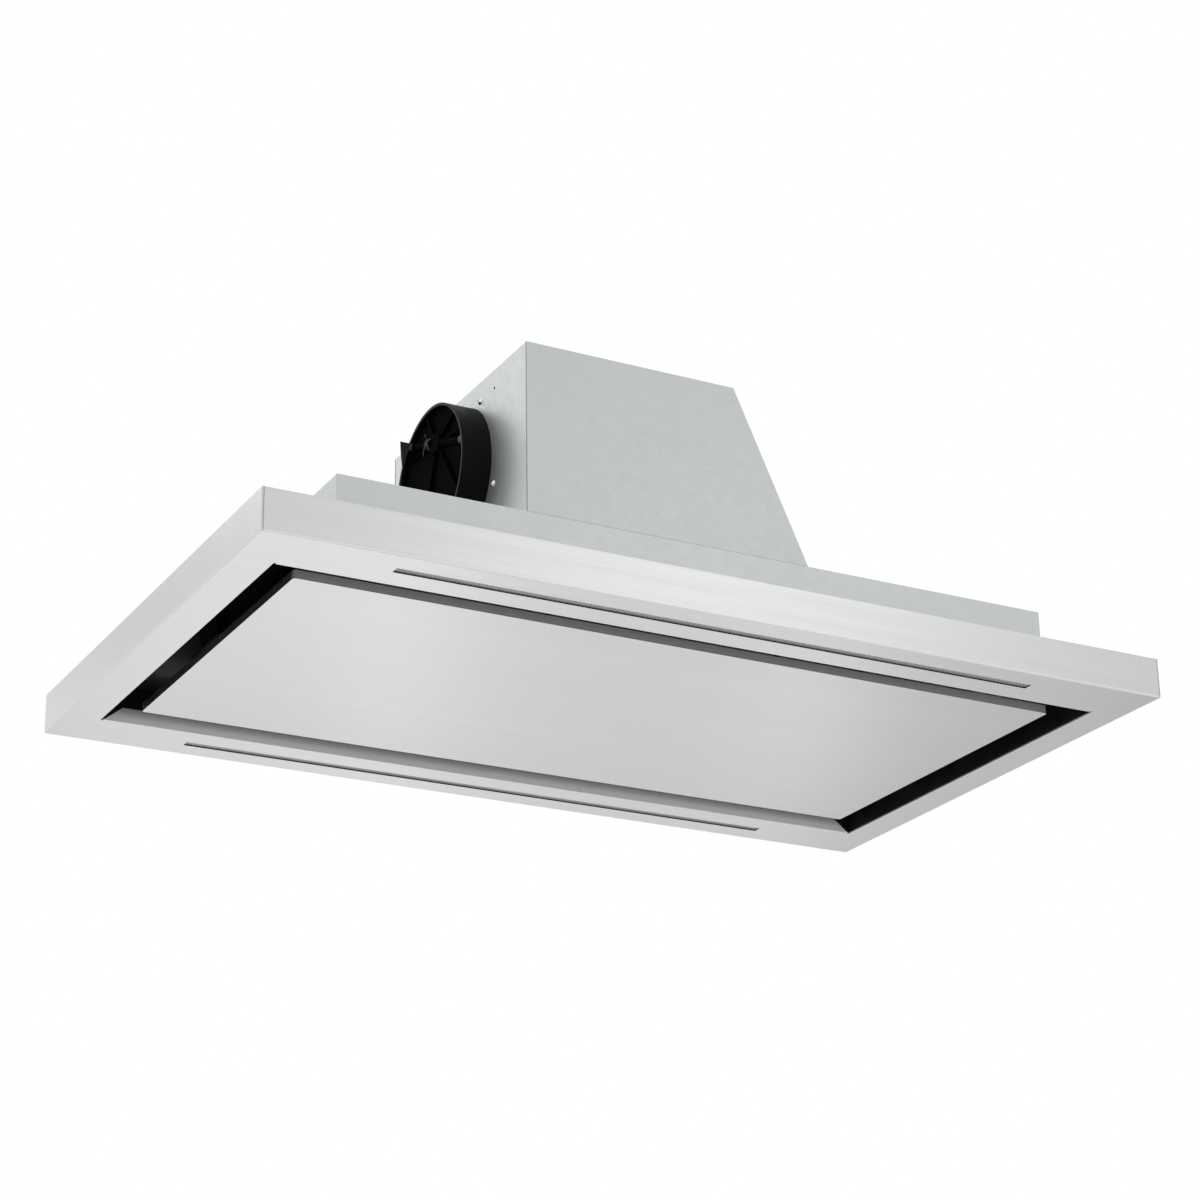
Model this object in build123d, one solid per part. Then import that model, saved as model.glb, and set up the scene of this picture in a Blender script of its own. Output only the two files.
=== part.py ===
from build123d import *

import math
import os

# Ceiling range hood, in millimetres. X runs along the hood, Y away from the viewer, Z up.
# The origin is the middle of the canopy's underside.

# ---- Sheets and clearances ------------------------------------------------------------------
STEEL_SHEET = 1.2  # brushed stainless steel of the canopy and the panel
LINER_SHEET = 1.0  # black painted steel of the liner
ZINC_SHEET = 1.0  # galvanised steel of the tray, housing and blower
BEND_RADIUS = 1.5
SEAT_GAP = 0.3  # between pieces that are seated on each other
PIVOT_GAP = 0.05  # radial, round a pin that turns
HOLE_GAP = 0.1  # radial, round a screw

# ---- Canopy ---------------------------------------------------------------------------------
CANOPY_LENGTH = 960.0
CANOPY_DEPTH = 580.0
CANOPY_HEIGHT = 41.0
TOP_FLANGE_WIDTH = 22.0
MOUTH_MARGIN_X = 37.5  # from the canopy's edge to the mouth's short side
MOUTH_MARGIN_Y = 65.75  # from the canopy's edge to the mouth's long side
LIP_HEIGHT = 15.5
LIP_TAPER = 22.0
LIP_FOLD_RADIUS = 1.0
CORNER_RELIEF = 2.5

# ---- Lamps ----------------------------------------------------------------------------------
SLOT_LENGTH = 682.0
SLOT_WIDTH = 10.5
SLOT_INSET = 32.0  # from the canopy's long edge to the slot's middle
DIFFUSER_OVERLAP = 1.4
DIFFUSER_THICKNESS = 2.0
CHANNEL_HEIGHT = 9.0
CHANNEL_WALL = 1.2
LED_BOARD_THICKNESS = 1.0
LED_BOARD_WIDTH = 9.0
LED_COUNT = 16
LED_SIZE = 3.0
LED_HEIGHT = 0.8

# ---- Perimeter panel ------------------------------------------------------------------------
PANEL_GAP_X = 31.8  # the air gap at the panel's short sides
PANEL_GAP_Y = 29.55  # the air gap at the panel's long sides
PANEL_RECESS = 3.4
PANEL_FLANGE = 8.6
PANEL_CORNER_RADIUS = 3.0
STIFFENER_WIDTH = 26.0
STIFFENER_HEIGHT = 6.0
STIFFENER_INSET_LEFT = 30.7
STIFFENER_INSET_RIGHT = 90.7
STIFFENER_SPACING = 190.0

# ---- Panel hinges and catch -----------------------------------------------------------------
HINGE_MARGIN = 44.7  # from the panel's long edge to the hinge's middle
HINGE_INSET = 15.7  # from the panel's right edge to the hinge axis
HINGE_HEIGHT = 20.0
HINGE_PIN_RADIUS = 2.5
HINGE_EYE_RADIUS = 6.0
HINGE_ARM_WIDTH = 14.0
HINGE_ARM_FOOT = 48.0
HINGE_BRACKET_FOOT = 16.0
HINGE_PLATE = 2.0
HINGE_PIN_HEAD = 1.5
HINGE_PIN_END = 2.0
CATCH_OFFSET = 15.0  # the catch stands this far behind the panel's middle line
CATCH_LENGTH = 46.0
CATCH_WIDTH = 13.0
MAGNET_HEIGHT = 3.0
CATCH_CORNER_RADIUS = 2.0
MAGNET_MARGIN = 2.0
STRIKE_NEAR = 24.67  # how far the strike reaches to the near side of the catch's middle
STRIKE_FAR = 49.33
STRIKE_HEIGHT = 16.0
STRIKE_LEAF = 12.0
STRIKE_DISC_RADIUS = 5.0
STRIKE_DISC_THICKNESS = 1.6

# ---- Filters --------------------------------------------------------------------------------
FILTER_COUNT = 3
FILTER_SPACE = 14.0  # between neighbouring filters
FILTER_TO_HINGE = 2.0
FILTER_DEPTH = 300.0
FILTER_HEIGHT = 10.0
FILTER_GAP = 1.0
FILTER_LIP = 3.0
FILTER_BORDER = 12.0
FILTER_BAR = 5.0
PLEAT_COUNT = 18
PLEAT_SHEET = 1.0
RING_WIRE_RADIUS = 1.5
RING_WIDTH = 28.0
RING_DROP = 10.0
RING_BEND = 2.4
RING_EAR_GAP = 3.0
RING_PIVOT_DROP = 3.0
RING_INSET = 9.0
EAR_THICKNESS = 2.0
EAR_WIDTH = 6.0

# ---- Plenum tray ----------------------------------------------------------------------------
TRAY_SETBACK_X = 95.6  # inside the canopy's edge
TRAY_SETBACK_Y = 63.0
TRAY_RISE = 56.3  # above the canopy
TRAY_FLANGE = 12.0
ROD_INSET_X = 34.4  # from the tray's edge to the ceiling rod
ROD_INSET_Y = 32.0
ROD_HOLE_RADIUS = 4.5
HANGER_SIZE = 40.0
HANGER_THICKNESS = 4.0
HANGER_CORNER_RADIUS = 4.0

# ---- Blower housing -------------------------------------------------------------------------
HOUSING_LEFT = -193.1
HOUSING_TOP_LENGTH = 227.0
HOUSING_BASE_LENGTH = 304.8
HOUSING_DEPTH = 298.9
HOUSING_HEIGHT = 175.8
HOUSING_SETBACK = 0.9  # behind the tray's near face
HOUSING_FLANGE = 12.0
PILOT_HOLE_RADIUS = 1.2
PILOT_HOLE_OFFSET = -81.0
PILOT_HOLE_RISE = 156.5

# ---- Outlet collar and damper ---------------------------------------------------------------
COLLAR_RADIUS = 74.3
COLLAR_WALL = 2.5
COLLAR_NECK_STEP = 0.8  # the neck in the sheet's hole is this much smaller in radius
COLLAR_REACH = 30.8
COLLAR_RISE = 88.7  # axis above the tray
COLLAR_FLANGE = 3.0
COLLAR_FLANGE_RADIUS = 84.0
COLLAR_EAR_RADIUS = 6.5
COLLAR_SCREW_CIRCLE = 83.5
COLLAR_SCREW_ANGLES = (-22.0, 53.0, 127.0, 202.0)
COLLAR_SCREW_RADIUS = 2.0
COLLAR_SCREW_HEAD_RADIUS = 3.6
COLLAR_SCREW_HEAD_HEIGHT = 2.4
COLLAR_SCREW_LENGTH = 9.0
TAB_START = 30.0
TAB_SPAN = 20.0
TAB_REACH = 10.0
TAB_STEP = 0.7  # inside the collar's outer surface, so that a duct slides over it
SPINDLE_RADIUS = 2.5
DAMPER_TURN = 18.6  # degrees that the damper is turned round the collar's axis
SPINDLE_RISE = 34.4  # from the collar's axis
SPINDLE_DEPTH = 5.5  # inside the collar's mouth
SPINDLE_POCKET = 1.0  # wall left behind the spindle's end
SPINDLE_BOSS_RADIUS = 5.5
SPINDLE_BOSS_LENGTH = 7.0
FLAP_THICKNESS = 2.0
FLAP_EDGE_GAP = 1.5
FLAP_SLEEVE_RADIUS = 4.8
FLAP_HUB_RADIUS = 10.0
FLAP_RIB_ANGLES = (-14.0, 41.0, 139.0, 169.0, 216.0, 270.0)
FLAP_RIB_THICKNESS = 1.6
FLAP_RIB_HEIGHT = 3.0
FLAP_RIB_INSET = 2.0
FLAP_HUB_STEP = 1.0
FLAP_END_PLAY = 1.0
FLAP_NOTCH_HEIGHT = 30.0
SEAT_RING_WIDTH = 4.0
SEAT_RING_THICKNESS = 2.0
SEAT_RING_DROP = 16.5  # the seat ring starts this far below the spindle
SPRING_WIRE_RADIUS = 0.6
SPRING_COIL_RADIUS = 6.2
SPRING_TURNS = 4
SPRING_PITCH = 1.9
SPRING_LEG = 12.0
SPRING_LEAN = 26.0  # degrees that the free leg leans out of the mouth
SPRING_OFFSET = 13.0
SPRING_RECESS_GAP = 1.5

# ---- Blower ---------------------------------------------------------------------------------
WHEEL_REACH = 153.1  # from the housing's left face to the axis
WHEEL_RISE = 54.7  # axis above the tray
WHEEL_SIDE_GAP = 9.0  # between the wheel's end and the scroll's side
WHEEL_RING_WIDTH = 7.0
WHEEL_RING_THICKNESS = 2.0
WHEEL_DISC_THICKNESS = 2.0
BLADE_COUNT = 30
BLADE_DEPTH = 15.0
BLADE_TIP_GAP = 0.5
BLADE_THICKNESS = 1.2
BLADE_BOW = 3.0
BLADE_LEAN = 9.0  # degrees that the blade's tip leads its root
HUB_RADIUS = 13.0
HUB_LENGTH = 16.0
SCROLL_WIDTH = 148.0
SCROLL_TOP_GAP = 5.1  # between the scroll and the housing's top
SCROLL_GROWTH = 32.0  # of the radius, from the tongue to the crest
SCROLL_TONGUE_GAP = 7.0  # between the wheel and the tongue
SCROLL_START_ANGLE = 212.0
SCROLL_END_ANGLE = 450.0
SCROLL_STATIONS = 9
SCROLL_TAB = 30.0
INLET_BELL_RADIUS = 6.0
INLET_FLANGE_WIDTH = 22.0
INLET_DEPTH = 8.0

# ---- Motor ----------------------------------------------------------------------------------
SHAFT_RADIUS = 4.0
SHAFT_LENGTH = 52.0
NUT_WIDTH = 13.0
NUT_HEIGHT = 6.5
SHAFT_END = 2.0  # past the nut
MOTOR_AIR_GAP = 16.0  # round the motor, inside the inlet
MOTOR_SETBACK = 7.0  # of the motor's end from the scroll's side
MOTOR_GAP = 9.0  # between the wheel's disc and the motor
MOTOR_RIB_COUNT = 12
MOTOR_RIB_HEIGHT = 2.0
MOTOR_RIB_WIDTH = 4.0
MOTOR_RIB_INSET = 5.0
SPIDER_ARM_COUNT = 3
SPIDER_ARM_WIDTH = 16.0
SPIDER_DISC_RADIUS = 30.0
SPIDER_SHEET = 2.0
SPIDER_BOLT_CIRCLE = 22.0

# ---- Electrics ------------------------------------------------------------------------------
BOX_GAP = 58.3  # from the housing's foot to the box
BOX_INSET = 39.0  # from the tray's far side to the box
BOX_LENGTH = 170.0
BOX_DEPTH = 130.0
BOX_HEIGHT = 44.0
BOX_SHEET = 1.0
BOX_FLANGE = 10.0
BOX_FLANGE_THICKNESS = 2.0
LID_SKIRT = 8.0
GLAND_BORE_RADIUS = 4.0
GLAND_RADIUS = 8.0
GLAND_LENGTH = 26.0
GLAND_WRENCH_SIZE = 18.0
GLAND_FLANGE = 6.0
GLAND_NUT = 4.0
GLAND_NECK_RADIUS = 6.0
GLAND_OUTSIDE = 18.0  # how far the gland stands out of the box
GLAND_EDGE_RADIUS = 3.0
GLAND_RISE = 22.0
GLAND_INSET = 30.0
CAPACITOR_RADIUS = 14.0
CAPACITOR_LENGTH = 58.0
CAPACITOR_INSET_X = 20.0
CAPACITOR_INSET_Y = 22.0
CLIP_WIDTH = 14.0
CLIP_MOUTH = 16.8
CLIP_FOOT = 19.6
CLIP_FOOT_THICKNESS = 0.6
BOARD_LENGTH = 84.0
BOARD_DEPTH = 70.0
BOARD_THICKNESS = 1.6
BOARD_INSET_X = 8.0
BOARD_INSET_Y = 14.0
SPACER_RADIUS = 3.0
SPACER_HEIGHT = 6.0
SPACER_INSET = 5.0
TRANSFORMER_SIZE = (30.0, 26.0, 20.0)
TRANSFORMER_INSET = 8.0
RELAY_COUNT = 4
RELAY_SIZE = (7.5, 18.0, 14.0)
RELAY_PITCH = 9.5
RELAY_INSET_X = 44.0
RELAY_INSET_Y = 10.0
DRIVER_SIZE = (58.0, 40.0, 24.0)
DRIVER_GAP = 8.0
DRIVER_CORNER_RADIUS = 3.0
TERMINAL_SIZE = (24.0, 24.0, 16.0)
TERMINAL_GAP = 34.0  # from the box's right end
TERMINAL_COUNT = 3
TERMINAL_PITCH = 7.5
TERMINAL_WELL_RADIUS = 2.2
TERMINAL_WELL_DEPTH = 6.0
TERMINAL_SLOT = (3.0, 4.5, 5.0)
TERMINAL_SLOT_RISE = 4.0

# ---- Screws ---------------------------------------------------------------------------------
SCREW_RADIUS = 1.9
SCREW_LENGTH = 8.0
SCREW_HEAD_WIDTH = 7.0
SCREW_HEAD_HEIGHT = 2.8
SCREW_WASHER_RADIUS = 4.6
SCREW_WASHER_THICKNESS = 0.8
RECESS_SPAN = 3.8
RECESS_SLOT = 1.0
RECESS_DEPTH = 1.2
SUNK_HEAD_RADIUS = 3.6
SUNK_HEAD_HEIGHT = 1.7
CANOPY_SCREW_COUNT = 5  # along each long side
CANOPY_SCREW_INSET = 50.0
TRAY_SCREW_COUNT = 4
TRAY_SCREW_INSET = 54.4

# ---- Places that follow from the sizes ------------------------------------------------------
DECK_TOP = CANOPY_HEIGHT - STEEL_SHEET
DECK_BOTTOM = DECK_TOP - LINER_SHEET
CANOPY_SCREW_Y = CANOPY_DEPTH / 2 - TOP_FLANGE_WIDTH / 2
CANOPY_SCREW_REACH = CANOPY_LENGTH / 2 - CANOPY_SCREW_INSET
MOUTH_LENGTH = CANOPY_LENGTH - 2 * MOUTH_MARGIN_X
MOUTH_DEPTH = CANOPY_DEPTH - 2 * MOUTH_MARGIN_Y
SLOT_OFFSET = CANOPY_DEPTH / 2 - SLOT_INSET
PANEL_LENGTH = MOUTH_LENGTH - 2 * PANEL_GAP_X
PANEL_DEPTH = MOUTH_DEPTH - 2 * PANEL_GAP_Y
LINER_INNER_X = MOUTH_LENGTH / 2 + SEAT_GAP
LINER_INNER_Y = MOUTH_DEPTH / 2 + STEEL_SHEET + SEAT_GAP
PANEL_TOP = PANEL_RECESS + PANEL_FLANGE
PANEL_INSIDE = PANEL_RECESS + STEEL_SHEET
HINGE_X = PANEL_LENGTH / 2 - HINGE_INSET
HINGE_Y = PANEL_DEPTH / 2 - HINGE_MARGIN
STRIKE_OUTER = -PANEL_LENGTH / 2 + STEEL_SHEET
FILTER_FIELD = 2 * (HINGE_X - HINGE_BRACKET_FOOT - FILTER_TO_HINGE - FILTER_LIP)
FILTER_PITCH = (FILTER_FIELD + FILTER_SPACE) / FILTER_COUNT
FILTER_LENGTH = FILTER_PITCH - FILTER_SPACE
RING_Y = -FILTER_DEPTH / 2 + RING_INSET
RING_Z = DECK_BOTTOM - FILTER_GAP - RING_PIVOT_DROP
TRAY_TOP = CANOPY_HEIGHT + TRAY_RISE
TRAY_LENGTH = CANOPY_LENGTH - 2 * TRAY_SETBACK_X
TRAY_DEPTH = CANOPY_DEPTH - 2 * TRAY_SETBACK_Y
TRAY_SCREW_REACH = TRAY_LENGTH / 2 - TRAY_SCREW_INSET
TRAY_SCREW_Y = TRAY_DEPTH / 2 + TRAY_FLANGE / 2
HOUSING_NEAR = -TRAY_DEPTH / 2 + HOUSING_SETBACK
HOUSING_FAR = HOUSING_NEAR + HOUSING_DEPTH
HOUSING_MIDDLE_Y = (HOUSING_NEAR + HOUSING_FAR) / 2
HOUSING_TOP = TRAY_TOP + HOUSING_HEIGHT
HOUSING_BASE_RIGHT = HOUSING_LEFT + HOUSING_BASE_LENGTH
COLLAR_Y = HOUSING_MIDDLE_Y
COLLAR_Z = TRAY_TOP + COLLAR_RISE
COLLAR_MOUTH = HOUSING_LEFT - COLLAR_REACH
COLLAR_BORE = COLLAR_RADIUS - COLLAR_WALL
COLLAR_BACK = HOUSING_LEFT + ZINC_SHEET + COLLAR_FLANGE
SPINDLE_X = COLLAR_MOUTH + SPINDLE_DEPTH
SPINDLE_Z = COLLAR_Z + SPINDLE_RISE
SPINDLE_REACH = math.sqrt(COLLAR_BORE**2 - SPINDLE_RISE**2)
SPRING_START = COLLAR_Y + SPRING_OFFSET
SPRING_SPAN = SPRING_TURNS * SPRING_PITCH
WHEEL_X = HOUSING_LEFT + WHEEL_REACH
WHEEL_Y = HOUSING_MIDDLE_Y
WHEEL_Z = TRAY_TOP + WHEEL_RISE
SCROLL_END_RADIUS = HOUSING_TOP - 2 * ZINC_SHEET - SCROLL_TOP_GAP - WHEEL_Z
SCROLL_START_RADIUS = SCROLL_END_RADIUS - SCROLL_GROWTH
WHEEL_RADIUS = SCROLL_START_RADIUS - SCROLL_TONGUE_GAP
WHEEL_WIDTH = SCROLL_WIDTH - 2 * WHEEL_SIDE_GAP
BLADE_INNER_RADIUS = WHEEL_RADIUS - BLADE_DEPTH
INLET_RADIUS = BLADE_INNER_RADIUS
INLET_FLANGE_RADIUS = INLET_RADIUS + INLET_FLANGE_WIDTH
MOTOR_RADIUS = INLET_RADIUS - MOTOR_AIR_GAP
MOTOR_LENGTH = SCROLL_WIDTH / 2 - MOTOR_SETBACK - MOTOR_GAP
SCROLL_NEAR = WHEEL_Y - SCROLL_WIDTH / 2
SCROLL_FAR = WHEEL_Y + SCROLL_WIDTH / 2
SCROLL_MOUTH = COLLAR_BACK + SEAT_GAP
MOTOR_NEAR = WHEEL_Y + MOTOR_GAP
MOTOR_FAR = MOTOR_NEAR + MOTOR_LENGTH
SHAFT_NEAR = WHEEL_Y - HUB_LENGTH / 2 - NUT_HEIGHT - SHAFT_END
BOX_BASE = TRAY_TOP
BOX_LEFT = HOUSING_BASE_RIGHT + BOX_GAP
BOX_RIGHT = BOX_LEFT + BOX_LENGTH
BOX_FAR = TRAY_DEPTH / 2 - BOX_INSET
BOX_NEAR = BOX_FAR - BOX_DEPTH
BOX_FLOOR = BOX_BASE + BOX_SHEET
BOX_TOP = BOX_BASE + BOX_HEIGHT
GLAND_Y = BOX_FAR - GLAND_INSET
GLAND_Z = BOX_BASE + GLAND_RISE
CAPACITOR_X = BOX_LEFT + CAPACITOR_INSET_X
CAPACITOR_Y = BOX_FAR - CAPACITOR_INSET_Y
CAPACITOR_Z = BOX_FLOOR + ZINC_SHEET + CAPACITOR_RADIUS


# ---- Helpers --------------------------------------------------------------------------------
def about(middle, width):
    """The two ends of a width centred on a coordinate."""
    return (middle - width / 2, middle + width / 2)


def slab(x_span, y_span, z_span):
    """A rectangular solid between two coordinates on each axis."""
    spans = (x_span, y_span, z_span)
    sizes = [high - low for low, high in spans]
    middles = [(low + high) / 2 for low, high in spans]
    return Pos(*middles) * Box(*sizes)


def rod_x(radius, x_span, y, z):
    """A round solid along X."""
    length = x_span[1] - x_span[0]
    return Pos(sum(x_span) / 2, y, z) * Rot(0, 90, 0) * Cylinder(radius, length)


def rod_y(radius, x, y_span, z):
    """A round solid along Y."""
    length = y_span[1] - y_span[0]
    return Pos(x, sum(y_span) / 2, z) * Rot(90, 0, 0) * Cylinder(radius, length)


def rod_z(radius, x, y, z_span):
    """A round solid along Z."""
    length = z_span[1] - z_span[0]
    return Pos(x, y, sum(z_span) / 2) * Cylinder(radius, length)


def prism_y(points, y_span):
    """A profile of X and Z points, drawn through the depth."""
    face = make_face(Polyline([(x, y_span[0], z) for x, z in points], close=True))
    return extrude(face, amount=y_span[1] - y_span[0], dir=(0, 1, 0))


def prism_x(points, x_span):
    """A profile of Y and Z points, drawn along the length."""
    face = make_face(Polyline([(x_span[0], y, z) for y, z in points], close=True))
    return extrude(face, amount=x_span[1] - x_span[0], dir=(1, 0, 0))


def save(name, *shapes):
    """Writes one node, of one solid or a group of like solids."""
    shape = shapes[0] if len(shapes) == 1 else Compound(children=list(shapes))
    export_step(shape, f"parts/{name}.step")


def spaced(count, reach):
    """Evenly spaced coordinates from one end of a row to the other."""
    return [reach * (2 * index / (count - 1) - 1) for index in range(count)]


def canopy_screw_places():
    """The sunk screws that hold the canopy's top flange to the deck."""
    xs = spaced(CANOPY_SCREW_COUNT, CANOPY_SCREW_REACH)
    return [(x, side * CANOPY_SCREW_Y) for x in xs for side in (-1, 1)]


def tray_screw_places():
    """The hexagon screws that hold the tray's flange to the deck."""
    xs = spaced(TRAY_SCREW_COUNT, TRAY_SCREW_REACH)
    return [(x, side * TRAY_SCREW_Y) for x in xs for side in (-1, 1)]


def hex_screw(x, y, seat):
    """A hexagon screw with a washer face, standing on the height of its seat."""
    washer = rod_z(SCREW_WASHER_RADIUS, x, y, (seat, seat + SCREW_WASHER_THICKNESS))
    head_base = Pos(x, y, seat) * RegularPolygon(SCREW_HEAD_WIDTH / 2, 6, major_radius=False)
    head = extrude(head_base, SCREW_HEAD_HEIGHT)
    shank = rod_z(SCREW_RADIUS, x, y, (seat - SCREW_LENGTH, seat))
    return washer + head + shank


def cross_recess():
    """A cross-shaped driver recess, sunk below the level it is placed at."""
    arm = Box(RECESS_SPAN, RECESS_SLOT, 2 * RECESS_DEPTH)
    return arm + Rot(0, 0, 90) * arm


def screw_hole(x, y, z_span):
    return rod_z(SCREW_RADIUS + HOLE_GAP, x, y, z_span)


def sunk_screw(x, y, play=0.0):
    """A countersunk screw with its head flush in the canopy's top, or its hole with some play."""
    seat = CANOPY_HEIGHT - SUNK_HEAD_HEIGHT
    head = Cone(SCREW_RADIUS + play, SUNK_HEAD_RADIUS + play, SUNK_HEAD_HEIGHT)
    head = Pos(x, y, (seat + CANOPY_HEIGHT) / 2) * head
    return head + rod_z(SCREW_RADIUS + play, x, y, (CANOPY_HEIGHT - SCREW_LENGTH, seat))


# ---- Canopy and liner -----------------------------------------------------------------------
def canopy_frame():
    """The folded skirt and underside, with the mouth, its two long lips and the lamp slots."""
    outer = slab(about(0, CANOPY_LENGTH), about(0, CANOPY_DEPTH), (0, CANOPY_HEIGHT))
    underside = outer.faces().sort_by(Axis.Z)[0]
    outer = fillet(underside.edges() + outer.edges().filter_by(Axis.Z), BEND_RADIUS)
    inside_length = CANOPY_LENGTH - 2 * STEEL_SHEET
    inside_depth = CANOPY_DEPTH - 2 * STEEL_SHEET
    frame = outer - slab(about(0, inside_length), about(0, inside_depth), (STEEL_SHEET, DECK_TOP))
    flange_length = CANOPY_LENGTH - 2 * TOP_FLANGE_WIDTH
    flange_depth = CANOPY_DEPTH - 2 * TOP_FLANGE_WIDTH
    above = (DECK_TOP, CANOPY_HEIGHT)
    frame -= slab(about(0, flange_length), about(0, flange_depth), above)
    mouth_span = about(0, MOUTH_LENGTH)
    frame -= slab(mouth_span, about(0, MOUTH_DEPTH), (0, STEEL_SHEET))
    for side in (-1, 1):
        edge = side * MOUTH_DEPTH / 2
        foot = MOUTH_LENGTH / 2 - CORNER_RELIEF
        tip = MOUTH_LENGTH / 2 - LIP_TAPER
        profile = [(-foot, 0), (foot, 0), (tip, LIP_HEIGHT), (-tip, LIP_HEIGHT)]
        lip_span = sorted((edge, edge + side * STEEL_SHEET))
        frame += prism_y(profile, lip_span)
        relief_span = sorted((edge, edge + side * CORNER_RELIEF))
        for end in (-1, 1):
            relief_x = sorted((end * foot, end * MOUTH_LENGTH / 2))
            frame -= slab(relief_x, relief_span, (0, STEEL_SHEET))
        frame -= slab(about(0, SLOT_LENGTH), about(side * SLOT_OFFSET, SLOT_WIDTH), (0, STEEL_SHEET))
    for x, y in canopy_screw_places():
        frame -= sunk_screw(x, y, HOLE_GAP)
    return fillet(lip_folds(frame), LIP_FOLD_RADIUS)


def lip_folds(frame):
    """The two long edges where the underside turns up into the mouth's lips."""
    low = frame.edges().filter_by(Axis.X).filter_by(lambda edge: abs(edge.center().Z) < 0.01)
    return low.filter_by(lambda edge: abs(abs(edge.center().Y) - MOUTH_DEPTH / 2) < 0.01)


def inner_liner():
    """The black deck that carries the filters, with the walls that close the mouth's sides."""
    deck_x = about(0, CANOPY_LENGTH - 2 * STEEL_SHEET - 2 * SEAT_GAP)
    deck_y = about(0, CANOPY_DEPTH - 2 * STEEL_SHEET - 2 * SEAT_GAP)
    deck_z = (DECK_BOTTOM, DECK_TOP)
    liner = slab(deck_x, deck_y, deck_z)
    wall_z = (STEEL_SHEET, DECK_BOTTOM)
    outer_x = about(0, 2 * (LINER_INNER_X + LINER_SHEET))
    outer_y = about(0, 2 * (LINER_INNER_Y + LINER_SHEET))
    walls = slab(outer_x, outer_y, wall_z)
    walls -= slab(about(0, 2 * LINER_INNER_X), about(0, 2 * LINER_INNER_Y), wall_z)
    liner += walls
    for place in filter_places():
        opening_x = about(place, FILTER_LENGTH + 2 * FILTER_GAP)
        liner -= slab(opening_x, about(0, FILTER_DEPTH + 2 * FILTER_GAP), deck_z)
    for x, y in canopy_screw_places():
        liner -= sunk_screw(x, y, HOLE_GAP)
    for x, y in tray_screw_places():
        liner -= screw_hole(x, y, deck_z)
    return liner


# ---- Lamps ----------------------------------------------------------------------------------
def lamp_channel(side):
    """An aluminium channel over the slot, open downwards."""
    width = SLOT_WIDTH + 2 * DIFFUSER_OVERLAP + 2 * CHANNEL_WALL
    length = SLOT_LENGTH + 2 * DIFFUSER_OVERLAP + 2 * CHANNEL_WALL
    y = side * SLOT_OFFSET
    bottom = STEEL_SHEET
    outer = slab(about(0, length), about(y, width), (bottom, bottom + CHANNEL_HEIGHT))
    hollow_x = about(0, length - 2 * CHANNEL_WALL)
    hollow_y = about(y, width - 2 * CHANNEL_WALL)
    return outer - slab(hollow_x, hollow_y, (bottom, bottom + CHANNEL_HEIGHT - CHANNEL_WALL))


def lamp_diffuser(side):
    """A flat diffuser strip that lies on the sheet inside the channel."""
    length = SLOT_LENGTH + 2 * DIFFUSER_OVERLAP - SEAT_GAP
    width = SLOT_WIDTH + 2 * DIFFUSER_OVERLAP - SEAT_GAP
    thickness = (STEEL_SHEET, STEEL_SHEET + DIFFUSER_THICKNESS)
    return slab(about(0, length), about(side * SLOT_OFFSET, width), thickness)


def led_board(side):
    """The lamp's strip board, up against the channel's roof, with its light-emitting chips."""
    roof = STEEL_SHEET + CHANNEL_HEIGHT - CHANNEL_WALL
    y = side * SLOT_OFFSET
    underside = roof - LED_BOARD_THICKNESS
    board = slab(about(0, SLOT_LENGTH), about(y, LED_BOARD_WIDTH), (underside, roof))
    pitch = SLOT_LENGTH / LED_COUNT
    for index in range(LED_COUNT):
        x = (index - (LED_COUNT - 1) / 2) * pitch
        board += slab(about(x, LED_SIZE), about(y, LED_SIZE), (underside - LED_HEIGHT, underside))
    return board


# ---- Perimeter panel ------------------------------------------------------------------------
def perimeter_panel():
    """A shallow tray of brushed steel, its flange folded up all round."""
    blank = slab(about(0, PANEL_LENGTH), about(0, PANEL_DEPTH), (PANEL_RECESS, PANEL_TOP))
    blank = fillet(blank.edges().filter_by(Axis.Z), PANEL_CORNER_RADIUS)
    inside_x = about(0, PANEL_LENGTH - 2 * STEEL_SHEET)
    inside_y = about(0, PANEL_DEPTH - 2 * STEEL_SHEET)
    hollow = slab(inside_x, inside_y, (PANEL_INSIDE, PANEL_TOP))
    hollow = fillet(hollow.edges().filter_by(Axis.Z), PANEL_CORNER_RADIUS - STEEL_SHEET)
    return blank - hollow


def panel_stiffener(side):
    """A hat section that lies along the panel's upper side."""
    y = side * STIFFENER_SPACING / 2
    crown = STIFFENER_WIDTH / 2
    rise = PANEL_INSIDE + STIFFENER_HEIGHT
    left = -PANEL_LENGTH / 2 + STIFFENER_INSET_LEFT
    length_span = (left, PANEL_LENGTH / 2 - STIFFENER_INSET_RIGHT)
    crown_hat = slab(length_span, about(y, crown), (PANEL_INSIDE, rise))
    crown_inside = crown - 2 * ZINC_SHEET
    crown_hat -= slab(length_span, about(y, crown_inside), (PANEL_INSIDE, rise - ZINC_SHEET))
    brim = slab(length_span, about(y, STIFFENER_WIDTH), (PANEL_INSIDE, PANEL_INSIDE + ZINC_SHEET))
    brim -= slab(length_span, about(y, crown_inside), (PANEL_INSIDE, PANEL_INSIDE + ZINC_SHEET))
    return crown_hat + brim


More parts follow.
